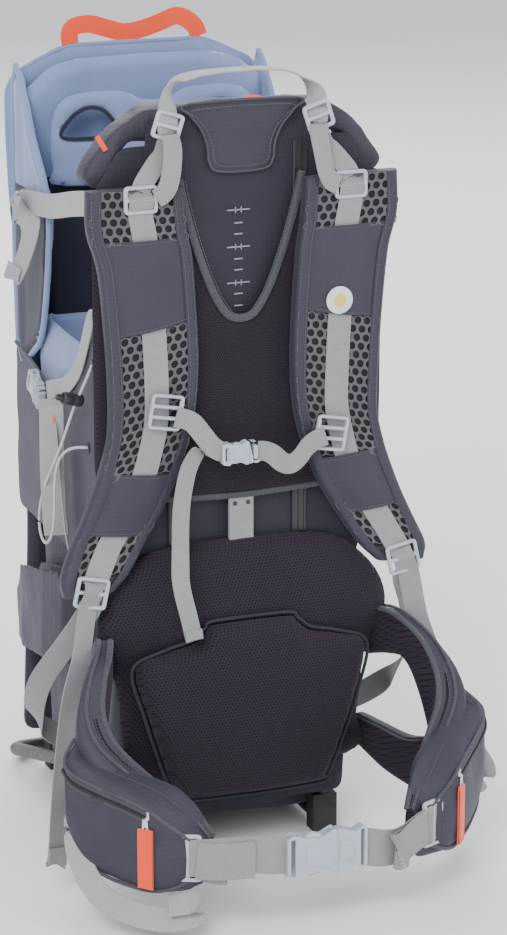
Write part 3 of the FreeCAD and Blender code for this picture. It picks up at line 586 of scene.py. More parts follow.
def make_webbing(name, dark, light, rib=0.0021, roughness=0.7, sheen=0.2):
    """Flat woven tape with chevron ribs that follow the piece's own length."""
    tree, surface = shader(name, roughness, sheen=sheen)
    spot, u, v = uv_place(tree)
    zigzag = math_node(tree, "ABSOLUTE", math_node(tree, "SUBTRACT", math_node(
        tree, "FRACT", math_node(tree, "DIVIDE", u, 0.0042)), 0.5))
    lean = math_node(tree, "ADD", v, math_node(tree, "MULTIPLY", zigzag, 0.0026))
    ribs = wave(tree, lean, rib)
    cords = wave(tree, u, 0.00105)
    height = math_node(tree, "ADD", math_node(tree, "MULTIPLY", ribs, 0.32),
                       math_node(tree, "MULTIPLY", cords, 0.16))
    wear = noise_node(tree, spot, 60.0, 3.0)
    fuzz = noise_node(tree, spot, 1500.0, 2.0)
    shade = math_node(tree, "ADD", math_node(tree, "ADD", height, 0.3),
                      math_node(tree, "ADD", math_node(tree, "MULTIPLY", wear, 0.35),
                                math_node(tree, "MULTIPLY", fuzz, 0.25)))
    colour_between(tree, surface, shade, dark, light)
    bump(tree, surface, height, 0.55, 0.00045)


def make_moulded(name, dark, light, roughness=0.36, grain=420.0, metallic=0.0, specular=0.5):
    """Moulded plastic: faint flow marks and a fine spark-eroded grain."""
    tree, surface = shader(name, roughness, metallic=metallic, specular=specular)
    spot, _ = object_place(tree)
    flow = noise_node(tree, spot, 45.0, 3.0)
    fine = noise_node(tree, spot, grain * 4, 2.0)
    colour_between(tree, surface, math_node(tree, "ADD", math_node(tree, "MULTIPLY", flow, 0.7),
                                            math_node(tree, "MULTIPLY", fine, 0.3)), dark, light)
    scuffs = node(tree, "ShaderNodeMapRange", {"Value": noise_node(tree, spot, 130.0, 5.0, 0.7),
                                               "From Min": 0.35, "From Max": 0.75,
                                               "To Min": roughness - 0.06,
                                               "To Max": roughness + 0.16})
    tree.links.new(scuffs.outputs[0], surface.inputs["Roughness"])
    bump(tree, surface, fine, 0.12, 0.0003)


def make_lining(name, dark, light):
    """Soft brushed lining with a fine twill."""
    tree, surface = shader(name, 0.85, sheen=0.5, sheen_tint=(0.8, 0.86, 1, 1), specular=0.25)
    spot, u, w = slanted_place(tree)
    twill = wave(tree, math_node(tree, "ADD", u, w), 0.0014)
    cloud = noise_node(tree, spot, 16.0, 3.0)
    grain = noise_node(tree, spot, 1000.0, 2.0)
    shade = math_node(tree, "ADD", math_node(tree, "MULTIPLY", cloud, 0.6),
                      math_node(tree, "MULTIPLY", grain, 0.4))
    shade = math_node(tree, "ADD", shade, math_node(tree, "MULTIPLY", twill, 0.06))
    colour_between(tree, surface, shade, dark, light)
    soft = math_node(tree, "MULTIPLY", noise_node(tree, spot, 60.0, 4.0), 1.5)
    bump(tree, surface, math_node(tree, "ADD", soft, math_node(tree, "MULTIPLY", twill, 0.2)),
         0.35, 0.0007)


class CarrierFinishes(bpy.types.PropertyGroup):
    """Colours that a maker may change."""
    ripstop: bpy.props.FloatVectorProperty(name="Ripstop", subtype="COLOR", size=3, min=0, max=1,
                                           default=(0.017, 0.0155, 0.027),
                                           description="Shell fabric")
    net: bpy.props.FloatVectorProperty(name="Spacer net", subtype="COLOR", size=3, min=0, max=1,
                                       default=(0.0115, 0.0078, 0.0145),
                                       description="Mesh over the lumbar pads")
    webbing: bpy.props.FloatVectorProperty(name="Webbing", subtype="COLOR", size=3, min=0, max=1,
                                           default=(0.225, 0.225, 0.236),
                                           description="Harness webbing")
    buckle: bpy.props.FloatVectorProperty(name="Buckles", subtype="COLOR", size=3, min=0, max=1,
                                          default=(0.36, 0.40, 0.46),
                                          description="Moulded buckles and ladderlocks")
    lining: bpy.props.FloatVectorProperty(name="Lining", subtype="COLOR", size=3, min=0, max=1,
                                          default=(0.185, 0.24, 0.41),
                                          description="Child seat lining")
    accent: bpy.props.FloatVectorProperty(name="Accent", subtype="COLOR", size=3, min=0, max=1,
                                          default=(0.86, 0.055, 0.004),
                                          description="Haul handle and zip pulls")


class CarrierSizes(bpy.types.PropertyGroup):
    """Sizes that a maker may change."""
    webbing_thickness: bpy.props.FloatProperty(name="Webbing thickness", default=1.6, min=0.8,
                                               max=3.0, description="Harness webbing, mm")
    window_cell: bpy.props.FloatProperty(name="Window cell", default=10.0, min=6, max=20,
                                         description="Pitch of the strap windows' holes, mm")
    camera_lens: bpy.props.FloatProperty(name="Lens", default=134.8, min=20, max=300,
                                         subtype="DISTANCE_CAMERA",
                                         description="Focal length of the camera")


def shaded(colour, factor):
    """A colour made darker or lighter."""
    return tuple(min(1.0, c * factor) for c in colour)


class CARRIER_OT_finishes(bpy.types.Operator):
    """Make every procedural material"""
    bl_idname = "carrier.finishes"
    bl_label = "Finishes"

    def execute(self, context):
        colours = context.scene.carrier_finishes
        shell = tuple(colours.ripstop)
        make_ripstop("shell_ripstop", shaded(shell, 0.72), shaded(shell, 1.45))
        make_ripstop("panel_cloth", (0.006, 0.006, 0.013), (0.013, 0.0125, 0.023), 0.75, 0.1)
        net = tuple(colours.net)
        make_spacer_mesh("lumbar_net", 0.0037, (0.004, 0.003, 0.004), shaded(net, 1.6))
        make_spacer_mesh("yoke_net", 0.0029, (0.003, 0.0022, 0.004), (0.016, 0.0125, 0.019))
        make_ripstop("piping_cloth", (0.022, 0.022, 0.028), (0.052, 0.052, 0.064), 0.7, 0.3)
        make_ripstop("window_backing", (0.006, 0.006, 0.007), (0.014, 0.014, 0.016), 0.9, 0.0)
        make_moulded("window_net", (0.045, 0.047, 0.052), (0.085, 0.088, 0.096), 0.7, 900.0)
        web = tuple(colours.webbing)
        make_webbing("webbing", shaded(web, 0.55), shaded(web, 1.25))
        make_webbing("light_webbing", shaded(web, 0.85), shaded(web, 1.6))
        accent = tuple(colours.accent)
        make_webbing("accent_webbing", shaded(accent, 0.72), shaded(accent, 1.1), 0.0016, 0.55)
        make_webbing("cord_braid", (0.22, 0.23, 0.24), (0.62, 0.63, 0.64), 0.0016, 0.6)
        buckle = tuple(colours.buckle)
        make_moulded("buckle_plastic", shaded(buckle, 0.86), shaded(buckle, 1.16))
        make_moulded("black_plastic", (0.012, 0.012, 0.014), (0.03, 0.03, 0.034), 0.42)
        make_moulded("foot_rubber", (0.010, 0.010, 0.011), (0.028, 0.028, 0.03), 0.75, 900.0)
        make_moulded("tube_metal", (0.012, 0.014, 0.017), (0.028, 0.031, 0.036), 0.4, 700.0)
        make_moulded("zip_metal", (0.5, 0.5, 0.52), (0.72, 0.72, 0.74), 0.3, 600.0, 1.0)
        make_moulded("spring_metal", (0.4, 0.4, 0.42), (0.62, 0.62, 0.64), 0.28, 600.0, 1.0)
        make_moulded("badge_ground", (0.50, 0.55, 0.56), (0.62, 0.66, 0.67), 0.4)
        make_moulded("badge_disc", (0.58, 0.42, 0.07), (0.68, 0.52, 0.12), 0.4)
        make_moulded("print_pale", (0.16, 0.17, 0.20), (0.26, 0.27, 0.31), 0.7)
        make_moulded("thread", (0.055, 0.055, 0.07), (0.10, 0.10, 0.12), 0.75, 900.0)
        lining = tuple(colours.lining)
        make_lining("seat_lining", shaded(lining, 0.78), shaded(lining, 1.2))
        # Painted shade: a near-black copy of the seat lining, laid on parts of the seat that sit in shade.
        make_lining("dark_lining", (0.008, 0.009, 0.018), (0.018, 0.020, 0.036))
        return {"FINISHED"}


# ---------------------------------------------------------------- camera, light and floor

class CARRIER_OT_camera(bpy.types.Operator):
    """Place the camera in front of the harness, a little above it and to its left"""
    bl_idname = "carrier.camera"
    bl_label = "Camera"

    def execute(self, context):
        distance = 3.5
        azimuth, elevation = math.radians(-21), math.radians(16)
        back = Vector((math.sin(azimuth) * math.cos(elevation),
                       -math.cos(azimuth) * math.cos(elevation), math.sin(elevation)))
        data = bpy.data.cameras.new("camera")
        data.lens = context.scene.carrier_sizes.camera_lens
        data.sensor_width = 36
        obj = bpy.data.objects.new("camera", data)
        context.scene.collection.objects.link(obj)
        obj.location = at(17.7, 0, 403) + back * distance
        obj.rotation_euler = back.to_track_quat("Z", "Y").to_euler()
        context.scene.camera = obj
        return {"FINISHED"}


class CARRIER_OT_stage(bpy.types.Operator):
    """Lay a pale floor and set soft studio lights"""
    bl_idname = "carrier.stage"
    bl_label = "Stage"

    def execute(self, context):
        tree, surface = shader("floor_paper", 0.9, specular=0.2)
        spot, _ = object_place(tree)
        colour_between(tree, surface, noise_node(tree, spot, 3.0, 2.0), (0.86, 0.86, 0.865),
                       (0.9, 0.9, 0.905))
        bm = bmesh.new()
        bmesh.ops.create_grid(bm, x_segments=4, y_segments=4, size=6.0)
        bmesh.ops.translate(bm, verts=bm.verts, vec=(0, 0, -0.001))
        mesh = bpy.data.meshes.new("floor")
        bm.to_mesh(mesh)
        bm.free()
        floor = bpy.data.objects.new("floor", mesh)
        mesh.materials.append(MATERIALS["floor_paper"])
        context.scene.collection.objects.link(floor)
        world = bpy.data.worlds.new("studio")
        context.scene.world = world
        world.use_nodes = True
        sky = world.node_tree.nodes["Background"]
        sky.inputs["Color"].default_value = (0.93, 0.95, 1.0, 1)
        sky.inputs["Strength"].default_value = 1.0
        lights = (("key", (-2.2, -3.0, 3.2), 2.2, 190), ("fill", (3.0, -2.2, 1.8), 2.8, 60),
                  ("back", (0.6, 3.2, 2.8), 2.6, 120), ("low", (-0.8, -3.4, 0.5), 2.0, 22))
        for name, place, size, power in lights:
            data = bpy.data.lights.new(name, "AREA")
            data.size = size
            data.energy = power
            lamp = bpy.data.objects.new(name, data)
            context.scene.collection.objects.link(lamp)
            lamp.location = place
            lamp.rotation_euler = (Vector(place) - Vector((0, 0, 0.42))).to_track_quat("Z", "Y").to_euler()
        return {"FINISHED"}


# ---------------------------------------------------------------- cord

CORD_ROUTE = [(-140.3, 31, 516), (-145, 33, 503), (-150.5, 37, 488), (-156, 44, 470), (-159, 52, 452),
              (-161, 66, 430), (-162, 88, 405), (-163, 116, 376), (-163, 139, 345), (-163, 143, 319),
              (-163, 126, 306), (-162, 107, 316), (-161, 97, 338), (-161, 96, 364), (-161, 92, 390),
              (-160, 78, 412), (-155, 62, 424), (-145, 55, 426), (-138.2, 54, 425)]
CORD_DIAMETER = 0.003
LOCK_AXIS = Vector((-0.9618, -0.0993, 0.2553)).normalized()


def spline_points(route):
    """Points along the smooth NURBS line that a route controls."""
    curve = bpy.data.curves.new("scratch_route", "CURVE")
    curve.dimensions = "3D"
    curve.resolution_u = 10
    spline = curve.splines.new("NURBS")
    spline.points.add(len(route) - 1)
    for point, station in zip(spline.points, route):
        point.co = (*at(*station), 1)
    spline.order_u = 3
    spline.use_endpoint_u = True
    obj = bpy.data.objects.new("scratch_route", curve)
    bpy.context.scene.collection.objects.link(obj)
    bpy.context.view_layer.update()
    mesh = bpy.data.meshes.new_from_object(obj.evaluated_get(bpy.context.evaluated_depsgraph_get()))
    points = [v.co.copy() for v in mesh.vertices]
    bpy.data.objects.remove(obj)
    bpy.data.meshes.remove(mesh)
    return points


def revolved(bm, profile, base, axis, sides=28):
    """A turned part: profile holds (distance along the axis, radius) in mm."""
    turn = Vector(axis).to_track_quat("Z", "Y")
    rings = [[base + turn @ Vector((max(r, 0.02) * math.cos(math.tau * k / sides),
                                    max(r, 0.02) * math.sin(math.tau * k / sides), h)) / 1000
              for k in range(sides)] for h, r in profile]
    return sweep(rings, bm=bm)


class CARRIER_OT_cord(bpy.types.Operator):
    """Make the elastic draw cord, its lock and its eyelets"""
    bl_idname = "carrier.cord"
    bl_label = "Draw cord"

    def execute(self, context):
        points = spline_points(CORD_ROUTE)
        length = sum((b - a).length for a, b in zip(points, points[1:]))
        bm = sweep(tube_rings(points, CORD_DIAMETER / 2, 8))
        cord = finish_piece("elastic_draw_cord", bm, "cord_braid", "pack", ["draw_cord"])
        middle = (at(*CORD_ROUTE[2]) + at(*CORD_ROUTE[3])) / 2
        foot = middle - LOCK_AXIS * 0.0055
        bm = revolved(bmesh.new(), [(0, 0), (0, 4.8), (0.8, 5.9), (2, 6.4), (9, 6.5), (10, 6.1), (11, 6.1),
                                    (12, 6.5), (20.6, 6.3), (21.7, 5.6), (22, 4.6), (21.2, 4.0), (18, 3.9)],
                      foot, LOCK_AXIS)
        barrel = finish_piece("cord_lock_barrel", bm, "black_plastic", "pack",
                              ["cord_lock"])
        low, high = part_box("cord_lock_button")
        centre = (Vector(low) + Vector(high)) / 2
        bm = revolved(bmesh.new(), [(-7, 0), (-7, 3.4), (5, 3.4), (6.2, 3.1), (6.9, 2.2), (7, 0)],
                      centre, LOCK_AXIS)
        button = finish_piece("cord_lock_plunger", bm, "black_plastic", "cord_button",
                              ["cord_lock_button"])
        bm = bmesh.new()
        for end, away in ((points[0], (-1, 0, 0)), (points[-1], (-1, 0, 0))):
            revolved(bm, [(-1.2, 2.0), (-1.2, 5.2), (0.4, 5.4), (1.2, 4.4), (1.2, 2.4), (0, 1.9),
                          (-1.2, 2.0)],
                     end, away, 20)
        finish_piece("cord_eyelets", bm, "black_plastic", "pack")
        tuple(points[0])
        [tuple(p) for p in points]
        return {"FINISHED"}


# ---------------------------------------------------------------- frame and kickstand

CARRIED_OVER = {"frame_front": "tube_metal", "frame_rear": "tube_metal", "base_rails": "tube_metal",
                "corner_feet": "foot_rubber", "kickstand": "tube_metal", "kickstand_pins": "spring_metal",
                "cord_lock_spring": "spring_metal"}


class CARRIER_OT_frame(bpy.types.Operator):
    """Finish the frame tubes, feet and kickstand, and add its ribbed sleeves"""
    bl_idname = "carrier.frame"
    bl_label = "Frame and kickstand"

    def execute(self, context):
        for name, material in CARRIED_OVER.items():
            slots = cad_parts[name].material_slots
            for entry in slots:
                entry.link = "OBJECT"
                entry.material = MATERIALS[material]
        bm = bmesh.new()
        for side in (LEFT, RIGHT):
            profile = [(0, 7.1), (0, 8.2), (1, 9.0), (3, 9.0)]
            for rib in range(9):
                start = 4 + rib * 5.8
                profile += [(start, 8.2), (start + 2.2, 8.2), (start + 2.8, 9.0), (start + 5.2, 9.0)]
            profile += [(57.5, 9.0), (59, 8.8), (60, 8.0), (60, 7.1)]
            revolved(bm, profile, at(side * 40, 335, 9), (side, 0, 0), 32)
            revolved(bm, [(0, 7.05), (0, 8.0), (60, 8.0), (60, 7.05)], at(side * 40, 335, 9),
                     (side, 0, 0), 32)
        finish_piece("kickstand_sleeves", bm, "foot_rubber", "kickstand", ["kickstand_feet"])
        return {"FINISHED"}


# ---------------------------------------------------------------- pads

def rim_distance(x, z, loops):
    """Distance in mm from a point to the nearest of some closed outlines."""
    best = 1e9
    for loop in loops:
        for (ax, az), (bx, bz) in zip(loop, loop[1:] + loop[:1]):
            dx, dz = bx - ax, bz - az
            t = ((x - ax) * dx + (z - az) * dz) / max(dx * dx + dz * dz, 1e-9)
            t = min(1.0, max(0.0, t))
            gap = math.hypot(x - ax - dx * t, z - az - dz * t)
            best = min(best, gap)
    return best


def pad(outline, pitch, place, thickness, edge=8.0, holes=(), groove=None, wrinkle=0.0):
    """A crowned closed pad: two sheets cut to one outline, which meet at its rim."""
    whole = bmesh.new()
    loops = [list(outline)] + [list(h) for h in holes]
    for facing in (1, -1):
        part = cut_sheet(outline, pitch, holes)

        def lay(x, z, facing=facing):
            gap = rim_distance(x, z, loops)
            ease = math.sqrt(max(0.0, 1 - (1 - min(gap / edge, 1.0)) ** 2))
            height = facing * ease * thickness / 2
            if facing > 0 and groove:
                height -= groove(x, z) * ease
            height += wrinkle * ease * noise.noise(Vector((x * 0.02, z * 0.02, facing * 3.1)))
            return place(x, z, height)

        bend_sheet(part, lay, 0, whole)
    bmesh.ops.remove_doubles(whole, verts=whole.verts, dist=0.00005)
    return whole


def padded_piece(name, bm, materials, body, replaces=(), cap=0.0):
    if cap:
        bmesh.ops.recalc_face_normals(bm, faces=bm.faces)
        inflate(bm, 3.0, cap)
    obj = finish_piece(name, bm, materials, body, replaces, angle=60)
    return obj


def front_place(base_y):
    """Lays a pad in the panel's plane, its outer face towards the wearer."""
    def place(x, z, height):
        return at(x, (base_y(x, z) if callable(base_y) else base_y) - height, z)
    return place


def channel(distance, width, depth):
    """Depth of a sewn channel at a distance from its line."""
    return depth * math.exp(-(distance / width) ** 2)


LOWER_LUMBAR = both_halves([(71, 73), (83, 80), (89, 92), (101, 125), (115, 170), (126, 219), (94, 235),
                            (64, 243), (50, 254), (38, 261)])
UPPER_LUMBAR = both_halves([(116, 86), (130, 130), (138, 196), (154, 232), (158, 260), (148, 290),
                            (122, 318),
                            (92, 333), (40, 338)])


class CARRIER_OT_lumbar(bpy.types.Operator):
    """Make the two spacer-net lumbar pads"""
    bl_idname = "carrier.lumbar"
    bl_label = "Lumbar pads"

    def execute(self, context):
        def upper_y(x, z):
            swell = 8.5 * math.exp(-((z - 256) / 34) ** 2) * (1 - 0.25 * (x / 138) ** 2)
            return -11.5 - swell + 5.0 * max(0.0, (z - 292) / 46)

        outline = rounded(UPPER_LUMBAR, 3)
        bm = pad(outline, 7, front_place(upper_y), 19, 16, wrinkle=0.8,
                 groove=lambda x, z: channel(abs(z - 262 + 10 * math.sin(x / 60)), 60, -1.5))
        padded_piece("upper_lumbar_cushion", bm, "lumbar_net", "pack", ["upper_lumbar_pad"],
                     cap=4.0)

        def lower_y(x, z):
            return -39 + 4.5 * (x / 126) ** 2 - 7.0 * math.exp(-((z - 165) / 70) ** 2)

        outline = rounded(LOWER_LUMBAR, 4)
        bm = pad(outline, 6, front_place(lower_y), 17, 15, wrinkle=0.8)
        padded_piece("lower_lumbar_cushion", bm, "lumbar_net", "pack", ["lower_lumbar_pad"],
                     cap=4.0)
        bm = bmesh.new()
        rim = [(x, lower_y(x, z) - 0.5, z) for x, z in outline]
        piping(bm, rim + rim[:1], 1.7, steps=2, flat=1.0)
        finish_piece("lower_lumbar_welt", bm, "panel_cloth", "pack")
        return {"FINISHED"}


# ---------------------------------------------------------------- harness panel

PANEL_OUTLINE = both_halves([(116, 46), (126, 220), (130, 300), (149, 420), (149, 690), (120, 736)])
YOKE_OUTLINE = both_halves([(74, 381), (120, 386), (150, 430), (152, 700), (63, 702), (56, 668),
                            (38, 611), (14, 563)])
TICKS = ((667, 24), (654, 9), (643, 9), (630, 24), (618, 9), (607, 9), (594, 24), (583, 9), (571, 9))


class CARRIER_OT_panel(bpy.types.Operator):
    """Make the harness panel, its rails, size ticks, yoke, V binding and pull loop"""
    bl_idname = "carrier.panel"
    bl_label = "Harness panel and yoke"

    def execute(self, context):
        outline = filleted(PANEL_OUTLINE, 12)
        bm = pad(outline, 9, front_place(2.0), 4.2, 4, wrinkle=0.7)
        finish_piece("harness_back_panel", bm, "panel_cloth", "pack", ["harness_panel"],
                     angle=60)
        bm = bmesh.new()
        profile = [(-7.5, 0), (-7.5, 2.2), (-6.6, 2.9), (-5.2, 2.9), (-4.4, 1.7), (-1.6, 1.7), (-0.8, 2.9),
                   (0.8, 2.9), (1.6, 1.7), (4.4, 1.7), (5.2, 2.9), (6.6, 2.9), (7.5, 2.2), (7.5, 0)]
        for side in (LEFT, RIGHT):
            rings = [[at(side * 66 + x, -0.2 - y, z) for x, y in profile] for z in (332, 334, 500, 730,
                    732)]
            sweep(rings, bm=bm)
        finish_piece("length_rails", bm, "black_plastic", "pack", ["back_length_rails"])
        bm = bmesh.new()
        for height, width in TICKS:
            lozenge(bm, (width, 0.5, 1.5), Matrix.Translation(at(1.5, -0.9, height)), 0.2)
            if width > 10:
                for shift, tall in ((-3, 6), (3, 6)):
                    lozenge(bm, (1.2, 0.5, tall), Matrix.Translation(at(1.5 + shift, -0.9, height)), 0.2)
        finish_piece("size_ticks", bm, "print_pale", "pack")

        def yoke_y(x, z):
            return -7.5 + 0.8 * math.sin(x / 17) * math.exp(-((z - 520) / 90) ** 2)

        yoke = filleted(YOKE_OUTLINE, 14)
        bm = pad(yoke, 8, front_place(yoke_y), 7, 5, wrinkle=0.9)
        yoke_obj = finish_piece("yoke_net_pad", bm, "yoke_net", "yoke", ["yoke_pad"], angle=60)
        bm = bmesh.new()
        edge = [(64, 703), (61, 688), (56, 668), (48, 640), (38, 611), (27, 585), (14, 566), (0, 561)]
        route = [(x, -12.0, z) for x, z in edge] + [(-x, -12.0, z) for x, z in reversed(edge[:-1])]
        piping(bm, route, 4.2, flat=0.5, wish=(0, 1, 0))
        base = [(-122, 389), (-100, 384), (-74, 382), (-30, 380), (0, 379), (30, 380), (74, 382),
                (100, 384),
                (122, 389)]
        piping(bm, [(x, -9.5, z) for x, z in base], 3.2, flat=0.7, wish=(0, 1, 0))
        finish_piece("yoke_binding", bm, "piping_cloth", "yoke")
        bm = bmesh.new()
        path = [at(x - 5.5 if x > 0 else x, -14.2, z) for x, z in edge[:-1]]
        stitches(bm, path, (0, -1, 0))
        path = [at(5.5 - x if x > 0 else x, -14.2, z) for x, z in edge[:-1]]
        stitches(bm, path, (0, -1, 0))
        finish_piece("yoke_stitching", bm, "thread", "yoke", merge=False, recalc=False)

        bm = bmesh.new()
        strap(bm, [(1, -9.2, 382), (1, -9.6, 370), (1, -9.6, 335), (1, -9.0, 326), (1, -7.4, 325),
                   (1, -6.8, 334), (1, -6.8, 380)], (1, 0, 0), 26, 1.4)
        finish_piece("yoke_pull_loop", bm, "webbing", "yoke", ["pull_loop"])
        bm = bmesh.new()
        for x, z in ((-6, 371), (8, 371)):
            revolved(bm, [(0, 0), (0, 2.4), (0.6, 2.2), (1.0, 1.2), (1.0, 0)], at(x, -10.3, z),
                     (0, -1, 0), 14)
        finish_piece("pull_loop_rivets", bm, "black_plastic", "yoke")
        return {"FINISHED"}


# ---------------------------------------------------------------- shoulder straps

STRAP_STATIONS = [(160, 700, 64, 698, -18.5), (160, 660, 61, 658, -20), (150, 622, 56, 630, -22),
                  (144, 560, 52, 575, -22), (141, 507, 50, 525, -22), (141, 460, 52, 482, -20),
                  (147, 430, 58, 448, -19), (155, 405, 70, 412, -18.5), (168, 372, 82, 385, -18),
                  (182, 342, 104, 348, -18), (193, 315, 124, 318, -24), (191, 298, 141, 301, -26)]
STRAP_ROWS = smooth_line(STRAP_STATIONS, 10)
STRAP_HALF = 6.5
WINDOWS = ((706, 648), (563, 414), (358, 316))
PANELS = ((650, 561, 0.0), (416, 356, 16.0))
WEBBING_ROUTE = [(109, -27.4, 668), (103, -28.7, 640), (100, -30.4, 600), (97, -30.5, 555),
                 (95, -30.5, 510),
                 (95, -29.2, 470), (101, -27.8, 438), (110, -27.2, 408), (126, -27, 376), (144, -27, 346),
                 (158, -32.6, 320)]
WEBBING_LINE = smooth_line(WEBBING_ROUTE, 14)


def strap_station(height):
    """The strap's row whose middle stands at a height in mm."""
    for a, b in zip(STRAP_ROWS, STRAP_ROWS[1:]):
        za, zb = (a[1] + a[3]) / 2, (b[1] + b[3]) / 2
        if zb <= height <= za:
            t = (za - height) / max(za - zb, 1e-6)
            return [p + (q - p) * t for p, q in zip(a, b)]
    return list(STRAP_ROWS[0] if height > 500 else STRAP_ROWS[-1])


def on_strap(row, across, lift, side):
    """A point on a strap's front: across runs from its inner to its outer edge."""
    crown = 1.2 * (1 - (2 * across - 1) ** 2)
    x = row[2] + (row[0] - row[2]) * across
    z = row[3] + (row[1] - row[3]) * across
    return at(side * x, row[4] - STRAP_HALF + 1.2 - crown - lift, z)


def panel_rise(row, across):
    """How far a cross panel stands up where the webbing runs under it, in mm."""
    x = row[2] + (row[0] - row[2]) * across
    z = row[3] + (row[1] - row[3]) * across
    line = min(WEBBING_LINE, key=lambda spot: abs(spot[2] - z))
    return 4.4 * math.exp(-((x - line[0]) / 21) ** 4)


def in_window(height):
    """Whether a height lies in one of the strap's net windows."""
    return any(low <= height <= high for high, low in WINDOWS)


class CARRIER_OT_shoulder_straps(bpy.types.Operator):
    """Make the padded shoulder straps with their net windows, bands and stitching"""
    bl_idname = "carrier.shoulder_straps"
    bl_label = "Shoulder straps"

    def execute(self, context):
        cell = context.scene.carrier_sizes.window_cell
        for word, side in SIDES.items():
            bm = bmesh.new()
            section = [(0.0, -4.5), (0.0, 1.5), (0.025, 4.6), (0.08, 6.0), (0.3, 6.0), (0.5, 6.0),
                       (0.7, 6.0), (0.92, 6.0), (0.975, 4.6), (1.0, 1.5), (1.0, -4.5), (0.96, -6.2),
                       (0.5, -6.5), (0.04, -6.2)]
            rings = []
            for row in STRAP_ROWS:
                ring = []
                for across, out in section:
                    x = row[2] + (row[0] - row[2]) * across
                    z = row[3] + (row[1] - row[3]) * across
                    crown = 1.0 * (1 - (2 * across - 1) ** 2) if out > 0 else 0
                    ring.append(at(side * x, row[4] - out - crown + (0.9 if out > 5 else 0), z))
                rings.append(ring)
            sweep(rings, bm=bm)
            bm.faces.ensure_lookup_table()
            for face in bm.faces:
                centre = face.calc_center_median()
                height = centre.z * 1000
                row = strap_station(height)
                front = at(0, row[4], 0).y
                if centre.y < front - 0.0045 and in_window(height):
                    face.material_index = 1
            name = f"shoulder_pad_{word}"
            obj = finish_piece(name, bm, ["shell_ripstop", "window_backing"], "yoke",
                               [f"shoulder_strap_{word}"], angle=60)
            self.windows(word, side, cell)
            self.bands(word, side)
        return {"FINISHED"}

    def windows(self, word, side, cell):
        """The net over a strap's windows, its holes cut through."""
        part = bmesh.new()
        radius = cell / math.sqrt(3)
        rows = int(420 / (1.5 * radius))
        for line in range(rows):
            height = 712 - line * 1.5 * radius
            for column in range(-5, 6):
                x = (column + (0.5 if line % 2 else 0)) * cell
                row = strap_station(height)
                if abs(x) > math.hypot(row[0] - row[2], row[1] - row[3]) / 2 - 4 or not in_window(height):
                    continue
                spot = Matrix.Translation((x / 1000, 0, height / 1000)) @ Matrix.Rotation(math.pi / 2, 4,
                        "X")
                bmesh.ops.create_circle(part, cap_ends=True, segments=6, radius=radius / 1000, matrix=spot)
        bmesh.ops.remove_doubles(part, verts=part.verts, dist=0.0003)
        bmesh.ops.recalc_face_normals(part, faces=part.faces)
        cells = list(part.faces)
        bmesh.ops.inset_individual(part, faces=cells, thickness=0.00150, depth=0)
        bmesh.ops.delete(part, geom=cells, context="FACES")
        for vert in part.verts:
            row = strap_station(vert.co.z * 1000)
            width = math.hypot(row[0] - row[2], row[1] - row[3])
            across = 0.5 + vert.co.x * 1000 / width
            vert.co = on_strap(row, across, 0.9, side)
        grown = bmesh.ops.extrude_face_region(part, geom=list(part.faces))["geom"]
        bmesh.ops.translate(part, vec=(0, -0.0011, 0),
                            verts=[g for g in grown if isinstance(g, bmesh.types.BMVert)])
        obj = finish_piece(f"strap_window_net_{word}", part, "window_net", "yoke", angle=80)
        soften = obj.modifiers.new("soften", "SUBSURF")
        soften.levels = soften.render_levels = 1

    def bands(self, word, side):
        """The ripstop bands, cross panels and thread along a strap."""
        bm = bmesh.new()
        for edge, inward in ((0.0, 1), (1.0, -1)):
            rings = []
            for row in STRAP_ROWS:
                width = math.hypot(row[0] - row[2], row[1] - row[3])
                step = 1 / width * inward

                def spot(mm, lift, row=row, step=step, edge=edge):
                    across = edge + mm * step
                    x = row[2] + (row[0] - row[2]) * across
                    z = row[3] + (row[1] - row[3]) * across
                    return at(side * x, row[4] - lift, z)

                rings.append([spot(-0.6, -5.5), spot(-1.0, 0), spot(-0.2, 4.4), spot(2.2, 7.0),
                              spot(6, 8.1),
                              spot(11, 8.5), spot(12.2, 8.3), spot(12.4, 7.4), spot(6, 6.4), spot(1.5, 4.5),
                              spot(0.3, 0), spot(0.3, -5.5)])
            sweep(rings, bm=bm)
        for top, bottom, slant in PANELS:
            rings = []
            count = 14
            for i in range(count + 1):
                middle = top + (bottom - top) * i / count
                ring = []
                for k in range(13):
                    across = 0.06 + 0.88 * k / 12
                    row = strap_station(middle + slant * (across - 0.5))
                    ring.append(on_strap(row, across, 1.3 + panel_rise(row, across), side))
                under = [p + Vector((0, 0.0018, 0)) for p in reversed(ring)]
                rings.append(ring + under)
            sweep(rings, bm=bm)
        finish_piece(f"strap_bands_{word}", bm, "shell_ripstop", "yoke", angle=50)
        bm = bmesh.new()
        for edge, inward in ((0.0, 1), (1.0, -1)):
            for inset in (10.2, 2.6):
                line = []
                for row in STRAP_ROWS[2:66]:
                    width = math.hypot(row[0] - row[2], row[1] - row[3])
                    across = edge + inset / width * inward
                    x = row[2] + (row[0] - row[2]) * across
                    z = row[3] + (row[1] - row[3]) * across
                    line.append(at(side * x, row[4] - (8.6 if inset > 5 else 7.45), z))
                stitches(bm, line, (0, -1, 0))
        for top, bottom, slant in PANELS:
            for height in (top - 2.5, bottom + 2.5):
                line = []
                for k in range(13):
                    across = 0.13 + 0.74 * k / 12
                    row = strap_station(height + slant * (across - 0.5))
                    line.append(on_strap(row, across, 1.6 + panel_rise(row, across), side))
                stitches(bm, line, (0, -1, 0))
        finish_piece(f"strap_thread_{word}", bm, "thread", "yoke", merge=False,
                     recalc=False)


# ---------------------------------------------------------------- moulded fittings

